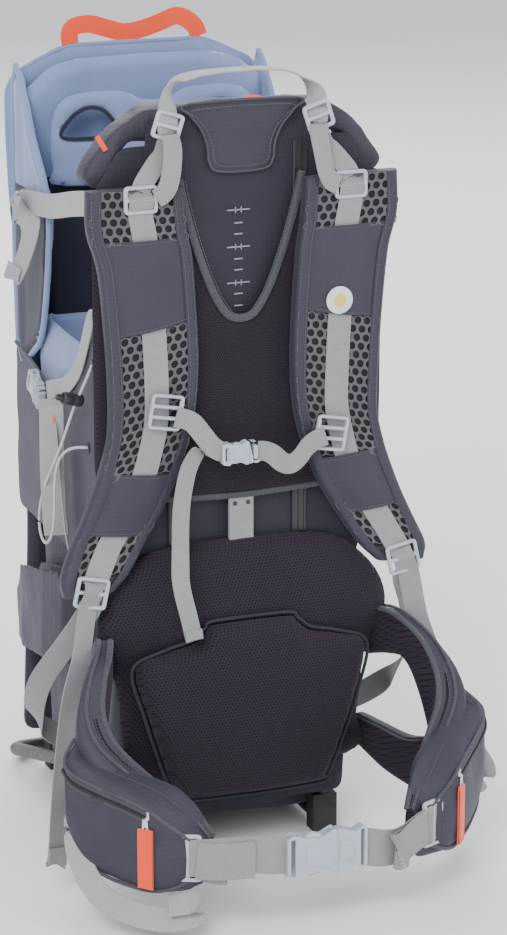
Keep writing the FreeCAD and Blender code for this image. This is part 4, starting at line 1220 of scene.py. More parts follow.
def stand(side, place, turns=(0, 0, 0)):
    """Where a fitting stands: its right-hand place in mm and turns about Z, Y and X, or the twin."""
    rz, ry, rx = (math.radians(a) for a in turns)
    return (Matrix.Translation(at(side * place[0], place[1], place[2])) @ Matrix.Rotation(side * rz, 4, "Z")
            @ Matrix.Rotation(side * ry, 4, "Y") @ Matrix.Rotation(rx, 4, "X"))


def ladder(bm, matrix, width, height, slots, bar=3.8, thickness=4.0):
    """A strap adjuster: an outer frame crossed by bars, with ridged grips."""
    half_w, half_h = width / 2, height / 2
    outline = filleted([(-half_w, -half_h), (half_w, -half_h), (half_w, half_h), (-half_w, half_h)], 5)
    pitch = (height - bar) / slots
    holes = []
    for index in range(slots):
        low = bar - half_h + index * pitch
        high = low + pitch - bar
        holes.append(filleted([(-half_w + bar, low), (half_w - bar, low), (half_w - bar, high),
                               (-half_w + bar, high)], 1.6, 3))
    centre = matrix @ Matrix.Translation((0, -thickness / 2000, 0))
    plate(bm, outline, holes, thickness, centre, 1.1)
    for index in range(1, slots):
        level = bar / 2 - half_h + index * pitch
        start = matrix @ Vector(((-half_w + bar * 0.8) / 1000, -thickness / 4000, level / 1000))
        end = matrix @ Vector(((half_w - bar * 0.8) / 1000, -thickness / 4000, level / 1000))
        rod(bm, start, end, bar / 1900)
    for level in (half_h - bar / 2, bar / 2 - half_h):
        start = matrix @ Vector(((-half_w + bar) / 1000, -thickness / 2600, level / 1000))
        end = matrix @ Vector(((half_w - bar) / 1000, -thickness / 2600, level / 1000))
        rod(bm, start, end, bar / 2500)
    return bm


def local_strap(bm, matrix, route, width, thickness=1.4):
    """A strap whose route is laid out from a fitting, in mm."""
    world = []
    for x, y, z in route:
        point = matrix @ Vector((x / 1000, y / 1000, z / 1000)) - WORLD_ORIGIN
        world.append((point.x * 1000, point.y * 1000, point.z * 1000))
    return strap(bm, world, tuple(matrix.to_3x3() @ Vector((1, 0, 0))), width, thickness, 6)


class CARRIER_OT_ladderlocks(bpy.types.Operator):
    """Make the ladderlocks of the harness, sides and waist"""
    bl_idname = "carrier.ladderlocks"
    bl_label = "Ladderlocks"

    def execute(self, context):
        groups = (
            ("collar_ladderlocks", "pack", "upper_ladderlocks", [((78, -20, 758), (0, -18, 0), 29.2, 28)]),
            ("harness_ladderlocks", "yoke", "strap_ladderlocks",
             [((109, -28.5, 690), (0, 0, 0), 34.2, 28), ((166, -36, 303), (0, -12, 0), 34.2, 32)]),
            ("top_side_ladderlocks", "pack", "side_ladderlocks",
             [((140.8, 262, 628), (90, 90, 0), 34.2, 22)]),
            ("hip_ladderlocks", "pack", "waist_ladderlocks", [((128, -203.5, 83), (25, 90, 0), 48.2, 28)]))
        for name, body, node_name, locks in groups:
            bm = bmesh.new()
            for side in (LEFT, RIGHT):
                for place, turns, width, height in locks:
                    ladder(bm, stand(side, place, turns), width, height, 2)
            finish_piece(name, bm, "buckle_plastic", body, [node_name], merge=False)
        return {"FINISHED"}


# ---------------------------------------------------------------- webbing

class CARRIER_OT_webbing(bpy.types.Operator):
    """Make the webbing of the harness, lifters, anchors and sides"""
    bl_idname = "carrier.webbing"
    bl_label = "Webbing"

    def execute(self, context):
        thick = context.scene.carrier_sizes.webbing_thickness
        for word, side in SIDES.items():
            def run(name, parts, body, replaced=(), material="webbing", blend=None):
                bm = bmesh.new()
                for route, across, width in parts:
                    strap(bm, mirrored_route(route, side), [(side * a[0], a[1], a[2]) for a in across],
                          width, thick, wobble=0.5, seed=side)
                obj = finish_piece(f"{name}_{word}", bm, material, None if blend else body,
                                   replaced)
                if blend:
                    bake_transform(obj)
                return obj

            one = [(1, 0, 0), (1, 0, 0)]
            front = [(114, -24.5, 704), (111, -25.6, 697), (109, -31.6, 690.5), (109, -30.6, 684),
                     (109, -28.5, 674)] + WEBBING_ROUTE[1:] + [(163, -34.5, 309)]
            run("strap_webbing", [(front, one, 25)], "yoke", ["strap_webbings"])
            fold = [(77, -23, 750), (76, -28, 738), (78, -31.5, 722), (81, -32.5, 706), (86, -32, 696),
                    (94, -32.6, 691)]
            run("lifter_fold", [(fold, [(1, 0, 0.3), (0.9, 0.1, 0.1), (0.8, 0.2, 0.5), (0.5, 0, 1)], 19)],
                "yoke", blend=("pack", "yoke", at(side * 78, -24, 745), at(side * 86, -30, 712)))
            tail = [(163, -34.5, 312), (165, -39.6, 304), (168, -38.5, 296), (172, -38.5, 284),
                    (180, -42, 240), (193, -46, 197), (204, -51, 125), (213, -58, 44), (214.5, -60, 36),
                    (214, -63, 37), (212.5, -62, 52)]
            run("strap_tail", [(tail, [(1, -0.3, 0.3), (1, -0.3, 0.3)], 22)], "yoke", ["strap_tails"])
            lifter = [(76, -17.6, 752), (78, -18.5, 745), (84, -20.8, 730), (92, -23.2, 722),
                      (105, -27, 706),
                      (109, -27.5, 698)]
            run("load_lifter", [(lifter, [(1, 0, 0.4), (1, 0, 0.2)], 20)], "yoke", ["lifter_straps"],
                blend=("pack", "yoke", at(side * 78, -18.5, 745), at(side * 106, -27, 704)))
            anchor = [(166, -34.4, 292), (169, -29, 280), (182, -14, 250), (203, 22, 195), (196, 58, 145),
                      (162, 82, 114), (126, 90, 104)]
            run("anchor_strap", [(anchor, [(0.5, -0.2, 0.9), (0.5, -0.2, 0.9)], 24)], "yoke",
                ["anchor_straps"], blend=("yoke", "pack", at(side * 168, -30, 284),
                                          at(side * 200, 40, 170)))
            top = [(152, 6, 683), (149, 60, 672), (143.6, 150, 652), (142.4, 238, 640), (142.6, 250, 634),
                   (145.8, 262, 628), (143, 270, 622)]
            side_tail = [(146.5, 262, 626), (147, 238, 634), (147, 214, 636), (150, 196, 618),
                         (158, 196, 590),
                         (165, 205, 570), (166.5, 206, 567), (168, 205, 570), (165, 203, 582)]
            run("side_strap", [(top, [(0, 0, 1), (0, 0, 1)], 25),
                               (side_tail, [(0.3, 0.4, 1), (0.3, 1, 0), (0.3, 1, 0)], 25)], "pack",
                ["side_straps"], "light_webbing")
            rim = [(138.8, 32, 562), (139.6, 40, 556), (140, 70, 508), (140, 100, 484), (140, 126, 470),
                   (141, 150, 463), (144, 168, 457)]
            drop = [(149, 150, 452), (154, 126, 453), (155.5, 118, 446), (156, 117, 400), (155, 116, 346),
                    (153, 116, 318)]
            strip = [(151, 122, 442), (152, 112, 420), (152, 104, 380), (150, 96, 330), (146, 92, 300)]
            run("leg_strap", [(drop, [(0.9, 0.42, 0), (0.9, 0.42, 0)], 25),
                              (strip, [(0.3, -0.9, 0), (0.3, -0.9, 0)], 12)], "pack", ["leg_straps"],
                "light_webbing")
            run("leg_rim_strap", [(rim, [(0, 0.5, 1), (0, 0.5, 1)], 19)], "pack", (), "light_webbing",
                blend=("pack", f"leg_plug_{word}", at(side * 140, 92, 490), at(side * 144, 164, 459)))
        bm = bmesh.new()
        for side in (LEFT, RIGHT):
            revolved(bm, [(0, 0), (0, 5), (1.4, 4.6), (1.6, 3), (1.0, 0)], at(side * 153.5, 118, 440),
                     (side, 0, 0), 18)
            stitches(bm, [at(side * 151.6, 118 + k, 330) for k in (-12, 12)], (side, 0, 0))
        finish_piece("leg_strap_rivets", bm, "accent_webbing", "pack")
        return {"FINISHED"}


# ---------------------------------------------------------------- buckles

def release_socket(bm, matrix, width, height, thickness, reach):
    """The socket half: two curved plates with open sides, a mouth and a strap bar."""
    h = height / 2
    outline = filleted([(-width, -h * 0.86), (-width + 8, -h * 0.96), (-reach - 3, -h * 0.80),
                        (-reach * 0.55, -h * 0.72),
                        (-3, -h), (0, -h * 0.96), (0, h * 0.96), (-3, h), (-reach * 0.55, h * 0.72),
                        (-reach - 3, h * 0.80), (-width + 8, h * 0.96), (-width, h * 0.86)], 3)
    slot = filleted([(-width + 3, -h + 5), (-width + 8, -h + 5), (-width + 8, h - 5),
                     (-width + 3, h - 5)], 1.6)
    for face in (-1, 1):
        place = matrix @ Matrix.Translation((0, (face * (thickness / 2 - 1.4) - 1.4) / 1000, 0))
        plate(bm, outline, [slot], 2.8, place, 1.1)
    crest = filleted([(-reach - 1, -h * 0.42), (-4, -h * 0.62), (-4, h * 0.62), (-reach - 1, h * 0.42)], 4)
    plate(bm, crest, [], 1.4, matrix @ Matrix.Translation((0, (-thickness / 2 - 0.9) / 1000, 0)), 0.6)
    web = thickness - 3.2
    for x, y, z, sx, sz in ((-reach - 4, 0, 0, 5, height * 0.74), (-width + 1.6, 0, 0, 3, height * 0.82),
                            (-2.2, 0, h * 0.86, 4.2, h * 0.16), (-2.2, 0, -h * 0.86, 4.2, h * 0.16)):
        lozenge(bm, (sx, web, sz), matrix @ Matrix.Translation((x / 1000, y, z / 1000)), 0.8)
    return bm


def release_plug(bm, matrix, height, thickness, reach, length):
    """The plug half: a strap bar, two springy prongs that show at the sides, and a tongue."""
    h = height / 2
    end = length + 0.2
    base = filleted([(0.6, -h * 0.95), (length * 0.3, -h * 0.9), (length * 0.6, -h * 0.72),
                     (end - 8, -h * 0.86),
                     (end - 4, -h * 0.95), (end, -h * 0.8), (end, h * 0.8), (end - 4, h * 0.95),
                     (end - 8, h * 0.86), (length * 0.6, h * 0.72), (length * 0.3, h * 0.9), (0.6,
                             h * 0.95)], 2.4)
    slot = filleted([(end - 7, -h + 5), (end - 3, -h + 5), (end - 3, h - 5), (end - 7, h - 5)], 1.6)
    if length > 20:
        crest = filleted([(3, -h * 0.5), (length * 0.55, -h * 0.32), (length * 0.55, h * 0.32),
                          (3, h * 0.5)], 3)
        plate(bm, crest, [], 1.4, matrix @ Matrix.Translation((0, (-thickness / 2 - 0.3) / 1000, 0)), 0.6)
    plate(bm, base, [slot], thickness * 0.86, matrix @ Matrix.Translation((0, -thickness * 0.43 / 1000,
            0)), 1.2)
    flat = (thickness - 7.2) if thickness > 10 else (thickness - 6.4)
    for side in (-1, 1):
        line = [(1.0, 0, side * h * 0.62), (-reach * 0.3, 0, side * h * 0.58),
                (-reach * 0.62, 0, side * h * 0.74),
                (-reach * 0.84, 0, side * h * 0.78), (-reach, 0, side * h * 0.52)]
        points = [matrix @ Vector((x / 1000, y / 1000, z / 1000)) for x, y, z in smooth_line(line, 6)]
        sweep(tube_rings(points, flat * 0.62 / 1000, 12, 1.35, matrix.to_3x3() @ Vector((0, 1, 0))), bm=bm)
    lozenge(bm, (reach, flat, h * 0.3), matrix @ Matrix.Translation((-reach / 2000, 0, 0)), 0.8)
    return bm


class CARRIER_OT_buckles(bpy.types.Operator):
    """Make the waist, chest and leg buckles and the chest sliders"""
    bl_idname = "carrier.buckles"
    bl_label = "Buckles"

    def execute(self, context):
        waist = Matrix.Translation(at(15, -227, 80)) @ Matrix.Rotation(math.radians(2), 4, "Z")
        chest = Matrix.Translation(at(-6, -46, 434))
        halves = [("waist", waist, 52, 48, 13, 32, 32, "pack", "waist_plug", "waist_buckle_socket",
                   "waist_buckle_plug"),
                  ("chest", chest, 28, 24, 9, 16, 12, "chest_strap", "chest_plug", "chest_buckle_socket",
                   "chest_buckle_plug")]
        for name, place, width, height, thick, reach, base, body, plug_body, socket_node, plug_node in halves:
            bm = release_socket(bmesh.new(), place, width, height, thick, reach)
            finish_piece(f"{name}_socket", bm, "buckle_plastic", body, [socket_node],
                         merge=False)
            bm = release_plug(bmesh.new(), place, height, thick, reach, base)
            finish_piece(f"{name}_plug", bm, "buckle_plastic", plug_body, [plug_node],
                         merge=False)
        sockets = bmesh.new()
        for word, side in SIDES.items():
            place = (Matrix.Translation(at(side * 147, 186, 449)) @ Matrix.Rotation(math.radians(26), 4,
                    "X")
                     @ Matrix.Rotation(math.radians(-90), 4, "Z"))
            release_socket(sockets, place, 28, 26, 9, 15)
            bm = release_plug(bmesh.new(), place, 26, 9, 15, 12)
            finish_piece(f"leg_plug_{word}", bm, "buckle_plastic", f"leg_plug_{word}",
                         [f"leg_buckle_plug_{word}"], merge=False)
        finish_piece("leg_sockets", sockets, "buckle_plastic", "pack",
                     ["leg_buckle_sockets"],
                     merge=False)
        bm = bmesh.new()
        for x, z, side in ((-87, 479, LEFT), (87, 441, RIGHT)):
            place = Matrix.Translation(at(x, -35.2, z)) @ Matrix.Rotation(math.radians(10), 4, "Y")
            ladder(bm, place, 34, 36, 3, 3.4, 4)
            inner = place @ Matrix.Translation((-side * 0.0145, 0, 0))
            lozenge(bm, (3.4, 4.6, 26), inner, 1.2)
        finish_piece("chest_slider_pair", bm, "buckle_plastic", "chest_strap",
                     ["chest_sliders"],
                     merge=False)
        return {"FINISHED"}


class CARRIER_OT_chest_and_waist_webbing(bpy.types.Operator):
    """Make the webbing that runs to the chest and waist buckles"""
    bl_idname = "carrier.buckle_webbing"
    bl_label = "Buckle webbing"

    def execute(self, context):
        thick = context.scene.carrier_sizes.webbing_thickness
        bm = bmesh.new()
        reach = [(-78, -38.4, 474), (-68, -38.4, 471), (-60, -39.5, 466), (-52, -43, 455),
                 (-44, -46.4, 444),
                 (-36, -47.2, 438), (-30, -46, 436)]
        strap(bm, reach, (0.4, 0, 1), 20, thick)
        tail = [(-33, -44, 437), (-40, -41.6, 439), (-50, -40, 442), (-60, -38.6, 430), (-67, -37.6, 412),
                (-73, -38, 378), (-75.5, -42, 332), (-79, -54, 306), (-73, -60.5, 272), (-69.5, -62.5, 254),
                (-69, -64.5, 253), (-70, -64, 262)]
        strap(bm, tail, [(0.4, 0, 1), (0.9, 0, 0.4), (1, 0, 0.2), (1, 0, 0.1)], 18, thick, wobble=1.0)
        finish_piece("chest_webbing_left", bm, "webbing", "chest_strap",
                     ["chest_strap_left"])
        bm = bmesh.new()
        wave_route = [(4, -46, 434), (12, -46.6, 433), (20, -47.5, 429), (30, -47.6, 420), (40, -46, 417),
                      (50, -43.5, 422), (60, -39.6, 431), (70, -38.6, 437), (80, -38.4, 440)]
        strap(bm, wave_route, [(-0.1, 0, 1), (-0.35, 0, 1), (-0.5, 0, 1)], 20, thick)
        obj = finish_piece("chest_webbing_right", bm, "webbing", None,
                           ["chest_strap_right"])
        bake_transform(obj)
        bm = bmesh.new()
        left = [(-136, -199, 84), (-128, -205.5, 83.5), (-118, -211, 84.5), (-100, -220, 86.5),
                (-84, -225, 87.5), (-66, -228.2, 87), (-50, -229.4, 84), (-40, -229.4, 83), (-33, -229.4,
                        82)]
        strap(bm, left, (0, 0, 1), 38, 2.0, wobble=1.2)
        doubled = [(-122, -212.5, 83), (-112, -217, 82), (-96, -224.2, 82), (-74, -230, 83),
                   (-69, -231, 83)]
        strap(bm, doubled, (0, 0, 1), 38, 1.8, wobble=0.8, seed=3)
        under = [(-118, -207, 70), (-104, -213, 66), (-92, -217, 65)]
        strap(bm, under, (0, 0, 1), 20, 1.6)
        finish_piece("waist_webbing_left", bm, "webbing", "pack", ["waist_strap_left"])
        bm = bmesh.new()
        right = [(44, -225.8, 79), (52, -226.4, 77), (62, -225.6, 74), (78, -222, 71), (94, -217.7, 73),
                 (108, -213.6, 79), (118, -210.5, 82.5), (128, -205.5, 83.5), (136, -199, 84)]
        strap(bm, right, (0, 0, 1), 38, 2.0, wobble=1.2, seed=5)
        curl = [(118, -214, 84), (106, -220, 82), (92, -228, 77), (84, -232, 73), (79, -231, 70),
                (80, -226, 70),
                (90, -221.5, 72)]
        strap(bm, curl, [(0, 0, 1), (0.1, 0, 1), (0.1, 0, 1)], 37, 1.8, seed=2)
        obj = finish_piece("waist_webbing_right", bm, "webbing", None,
                           ["waist_strap_right"])
        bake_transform(obj)
        return {"FINISHED"}


# ---------------------------------------------------------------- hip belt

WING_STATIONS = [(136, -3, 158, -1, 240, 192), (146, -36, 164, -30, 247, 202),
                 (156, -62, 176, -54, 241, 200),
                 (168, -82, 192, -76, 224, 160), (175, -98, 204, -98, 198, 96), (170, -116, 201, -120,
                         174, 52),
                 (152, -136, 180, -144, 152, 46), (132, -160, 152, -168, 134, 46), (112, -186, 126, -194,
                         118, 48),
                 (100, -202, 109, -208, 98, 62)]
ARM_STATIONS = [(128, -3, 146, -1, 126, 94), (140, -36, 156, -30, 124, 80), (156, -66, 176, -60, 118, 68),
                (170, -86, 196, -84, 122, 58), (174, -104, 200, -106, 120, 54)]
POCKET_STATIONS = [(190, -88, 206, -96, 186, 112), (184, -104, 221, -111, 170, 84),
                   (172, -122, 216, -127, 160, 60),
                   (152, -142, 197, -151, 152, 47), (134, -158, 179, -171, 146, 42), (122, -172, 163,
                           -188, 139, 41),
                   (112, -186, 147, -199, 127, 45), (104, -196, 124, -206, 108, 56)]
WING_SECTION = [(0, 0, 0), (0.3, 0, 3), (0.7, 0, 1), (1, 0, -8), (1.05, 0.5, 0), (1, 1, 8), (0.7, 1, 0),
                (0.3, 1, 0), (0, 1, 6), (-0.06, 0.5, 0)]
POCKET_SECTION = [(0, 0, 0), (0.4, 0, 0), (0.8, 0, -3), (1, 0, -10), (1.03, 0.35, 0), (1.02, 0.7, 0),
                  (0.86, 1, 7), (0.45, 1, 0), (0.1, 1, 2), (0, 0.5, 0)]


def belt_point(side, station, out, fall, drop):
    """A point on a hip station: out runs across its thickness, fall down its height, drop in mm."""
    inner_x, inner_y, outer_x, outer_y, top, bottom = station
    return at(side * (inner_x + (outer_x - inner_x) * out), inner_y + (outer_y - inner_y) * out,
              top + (bottom - top) * fall + drop)


def belt_part(bm, side, stations, section, steps=7):
    """A padded part of the hip belt, swept through its stations."""
    outline = rounded(section, 3)
    rings = [[belt_point(side, station, *spot) for spot in outline] for station in smooth_line(stations,
            steps)]
    return sweep(rings, bm=bm)


def belt_piping(bm, side, stations, out, fall, drop, radius):
    """A binding that follows one edge of a part of the hip belt."""
    points = [belt_point(side, station, out, fall, drop) for station in smooth_line(stations, 7)]
    return sweep(tube_rings(points, radius / 1000, 10, 0.85, (0, 0, 1)), bm=bm)


class CARRIER_OT_hip_belt(bpy.types.Operator):
    """Make the hip wings, their bindings and the zipped pockets"""
    bl_idname = "carrier.hip_belt"
    bl_label = "Hip belt"

    def execute(self, context):
        wings, pockets, bindings, thread = (bmesh.new() for _ in range(4))
        for side in (LEFT, RIGHT):
            belt_part(wings, side, WING_STATIONS, WING_SECTION)
            belt_part(wings, side, ARM_STATIONS, WING_SECTION)
            belt_part(pockets, side, POCKET_STATIONS, POCKET_SECTION)
            belt_piping(bindings, side, WING_STATIONS, 0.06, 0, 2.5, 3.0)
            belt_piping(bindings, side, WING_STATIONS, 0.62, 0, 3.2, 1.8)
            belt_piping(bindings, side, POCKET_STATIONS, 1.0, 0, -8.5, 1.9)
            belt_piping(bindings, side, POCKET_STATIONS, 0.9, 1, 6, 2.2)
            belt_piping(bindings, side, ARM_STATIONS, 0.1, 0, 0, 2.2)
            lines = ((WING_STATIONS[4:], 0.42, 0, 3.8), (POCKET_STATIONS, 0.5, 0, 0.9))
            for stations, out, fall, drop in lines:
                points = [belt_point(side, s, out, fall, drop) for s in smooth_line(stations, 5)]
                stitches(thread, points, (0, 0, 1))
        bmesh.ops.recalc_face_normals(wings, faces=wings.faces)
        wings.normal_update()
        for face in wings.faces:
            centre = face.calc_center_median() - WORLD_ORIGIN
            inward = Vector((-centre.x, -0.4 * abs(centre.x), 0)).normalized()
            face.material_index = 1 if face.normal.dot(inward) > 0.3 else 0
        crumple(wings, 24.0, 1.2)
        obj = finish_piece("hip_wing_pair", wings, ["shell_ripstop", "lumbar_net"], "pack",
                           ["hip_wings"], angle=75)
        bmesh.ops.subdivide_edges(pockets, edges=pockets.edges, cuts=1, use_grid_fill=True)
        bmesh.ops.recalc_face_normals(pockets, faces=pockets.faces)
        inflate(pockets, 2.5, 2.5)
        crumple(pockets, 26.0, 2.4, 55.0)
        obj = finish_piece("hip_pocket_pair", pockets, "shell_ripstop", "pack",
                           ["hip_pockets"],
                           angle=75)
        finish_piece("hip_bindings", bindings, "piping_cloth", "pack")
        finish_piece("hip_thread", thread, "thread", "pack", merge=False, recalc=False)
        self.zips()
        self.tails(context.scene.carrier_sizes.webbing_thickness)
        return {"FINISHED"}

    def tails(self, thick):
        """The loose ends of the waist webbing, which hang behind and under the pockets."""
        bm = bmesh.new()
        left = [(-206, -112, 118), (-213, -120, 92), (-212, -134, 62), (-200, -156, 36), (-180, -180, 26),
                (-154, -198, 21), (-132, -207, 23), (-120, -209, 30), (-126, -206, 37), (-146, -199, 35)]
        strap(bm, left, [(0, 0.4, 1), (0.3, 0.3, 1), (0.3, 0.5, 1), (0, 0.6, 1), (0, 0.8, 0.7)], 24, thick)
        right = [(206, -98, 128), (216, -98, 112), (225, -101, 98), (228, -105, 88), (224, -108, 80),
                 (216, -107, 84)]
        strap(bm, right, [(0, 0.3, 1), (0.5, 0.2, 1), (0.6, 0.2, 1)], 26, thick)
        finish_piece("waist_tails", bm, "light_webbing", "pack")

    def zips(self):
        """The pockets' zips, sliders and pull tabs."""
        outward = Vector((61, -51, 0)).normalized()
        tape, teeth = bmesh.new(), bmesh.new()
        for side in (LEFT, RIGHT):
            line = smooth_line(POCKET_STATIONS[1:6], 5)
            spots = [belt_point(1, station, 1.045, 0, -15) - WORLD_ORIGIN for station in line]
            route = [tuple(spot * 1000) for spot in spots]
            strap(tape, mirrored_route(route, side), (0, 0, 1), 11, 1.0, steps=2)
            points = [at(side * x, y, z) + Vector((side * outward.x, outward.y, 0)) * 0.0008 for x, y,
                      z in route]
            stitches(teeth, points, (side * outward.x, outward.y, 0), pitch=1.5, length=0.8, size=3.4)
        finish_piece("pocket_zip_tapes", tape, "piping_cloth", "pack", ["pocket_zips"])
        finish_piece("pocket_zip_teeth", teeth, "black_plastic", "pack", merge=False,
                     recalc=False)
        for word, side in SIDES.items():
            face = Vector((163, -186.4, 0)) + outward * 3.2
            turn = Matrix.Rotation(side * math.atan2(61, 51), 4, "Z")
            spot = Matrix.Translation(at(side * face.x, face.y, 0)) @ turn
            metal = bmesh.new()
            body = [(-3.6, 107), (3.6, 107), (3.2, 118), (2.2, 124.5), (-2.2, 124.5), (-3.2, 118)]
            hole = [(-1.7, 109), (1.7, 109), (1.5, 114), (-1.5, 114)]
            plate(metal, filleted(body, 1.2), [filleted(hole, 0.6)], 1.6,
                  spot @ Matrix.Translation((0, -0.0008, 0)), 0.4, 2)
            lozenge(metal, (7.5, 4.2, 9), spot @ Matrix.Translation((0, 0.0022, 0.1255)), 1.0)
            finish_piece(f"zip_slider_{word}", metal, "zip_metal", f"zip_pull_{word}",
                         merge=False)
            tab = bmesh.new()
            for offset, low in ((-1.2, 51.5), (0.6, 50.5)):
                local_strap(tab, spot, [(0, offset * 0.3, 112), (0, offset, 107), (0, offset, 90),
                                        (0, offset, 70),
                                        (0, offset, low)], 16.5, 1.3)
            finish_piece(f"zip_tab_{word}", tab, "accent_webbing", f"zip_pull_{word}",
                         [f"zip_pull_{word}"])


# ---------------------------------------------------------------- collar, bag and handles

class CARRIER_OT_collar(bpy.types.Operator):
    """Make the gathered top collar, its flap and the accents"""
    bl_idname = "carrier.collar"
    bl_label = "Collar and flap"

    def execute(self, context):
        soft = soft_copy(["top_collar"], 4.4, inset=1.0, smoothing=6)
        inflate(soft, 3.5, 5.0)
        crumple(soft, 34.0, 3.0, 80.0)
        obj = finish_piece("collar_roll", soft, "shell_ripstop", "pack", ["top_collar"],
                           angle=70)
        flap = rounded(both_halves([(22, 707), (33, 716), (35, 732), (42, 750), (53, 764), (56, 776)]), 5)
        part = cut_sheet(flap, 6)

        def drape(x, z):
            over = max(0.0, min(1.0, (z - 738) / 30))
            return at(x + 3, -3.8 - 0.8 * math.cos(x / 16) - 4.5 * over * (1.6 - over), z)

        bm = bend_sheet(part, drape, 2.4)
        sheet = finish_piece("collar_flap_cloth", bm, "shell_ripstop", "pack",
                             ["collar_flap"],
                             angle=60)
        apron = filleted([(-96, 716), (96, 716), (92, 762), (-92, 762)], 8)

        def hang(x, z):
            return at(x, -0.8 + 0.10 * max(0.0, z - 736) + 0.4 * math.cos(x / 14), z)

        bm = bend_sheet(cut_sheet(apron, 8), hang, 1.8)
        finish_piece("collar_apron", bm, "panel_cloth", "pack", angle=60)
        bm = bmesh.new()
        rim = [(x + 3, -5.2 - 4.5 * max(0.0, min(1.0, (z - 738) / 30)), z) for x, z in flap]
        piping(bm, rim + rim[:1], 1.1, steps=1, flat=1.0)
        finish_piece("flap_edge", bm, "piping_cloth", "pack")
        bm = bmesh.new()
        inner = [(0.86 * x + 3, -6.3 - 4.5 * max(0.0, min(1.0, (z - 742) / 30)), 740 + (z - 740) * 0.84)
                 for x, z in flap]
        stitches(bm, [at(*p) for p in inner + inner[:1]], (0, -1, 0))
        finish_piece("flap_stitching", bm, "thread", "pack", merge=False, recalc=False)
        bm = bmesh.new()
        strap(bm, [(-141, 6, 748), (-137, 4, 741), (-133, 3.4, 734)], (1, 0, 1), 5, 1.2)
        strap(bm, [(12, 12, 775.5), (20, 11.4, 775.5), (30, 11.6, 774.5)], (0, 1, 0.4), 5, 1.2)
        finish_piece("collar_accents", bm, "accent_webbing", "pack")
        bm = bmesh.new()
        arch = [(-76, -17.2, 750), (-77.5, -18.6, 760), (-77, -17, 772), (-72, -8, 786), (-60, 4, 796),
                (-38, 11, 801), (0, 14, 802.5), (36, 14, 802), (60, 13, 798), (74, 9, 790), (80, 2, 780),
                (80, -8, 772), (78, -17.2, 764), (77, -18, 752)]
        strap(bm, arch, [(1, 0, 0.32), (1, 0.1, 0.2), (0.75, 0.75, 0), (0, 1, 0.1), (0, 1, 0), (0, 1, 0),
                         (0.1, 1, 0), (-0.3, 0.9, 0), (-0.9, 0.3, 0.2), (-1, 0, 0.32)], 22, 1.6, steps=10)
        finish_piece("grab_handle_webbing", bm, "light_webbing", "pack", ["grab_handle"])
        bm = bmesh.new()
        band = [(-70, 302.5, 789), (-71, 303, 798), (-66, 303.6, 806), (-48, 304, 808), (-28, 304, 802),
                (-10, 304, 797.5), (10, 304, 800), (30, 304, 806), (46, 304, 811.5), (58, 303.8, 808),
                (68, 303, 799), (72, 302.5, 789)]
        strap(bm, band, [(-1, 0, 0.35), (-0.6, 0, 1), (0.1, 0, 1), (0, 0, 1), (-0.15, 0, 1), (0.3, 0, 1),
                         (1, 0, 0.5)], 19, 2.0, wobble=1.0)
        finish_piece("haul_handle_webbing", bm, "accent_webbing", "pack", ["haul_handle"])
        return {"FINISHED"}


REAR_OUTLINE = both_halves([(132, 42), (128, 143), (124, 256), (122, 390), (123, 477), (128, 543),
                            (137, 629),
                            (140, 700), (140, 745), (130, 762), (77, 787)])
SIDE_OUTLINE = [(6, 302), (296, 302), (296, 478), (235, 468), (203, 461), (165, 458), (126, 469), (70, 505),
                (31, 551), (6, 566)]
WING_OUTLINE = [(296, 482), (296, 752), (262, 748), (232, 705), (192, 660), (184, 612), (205, 520),
                (236, 484)]


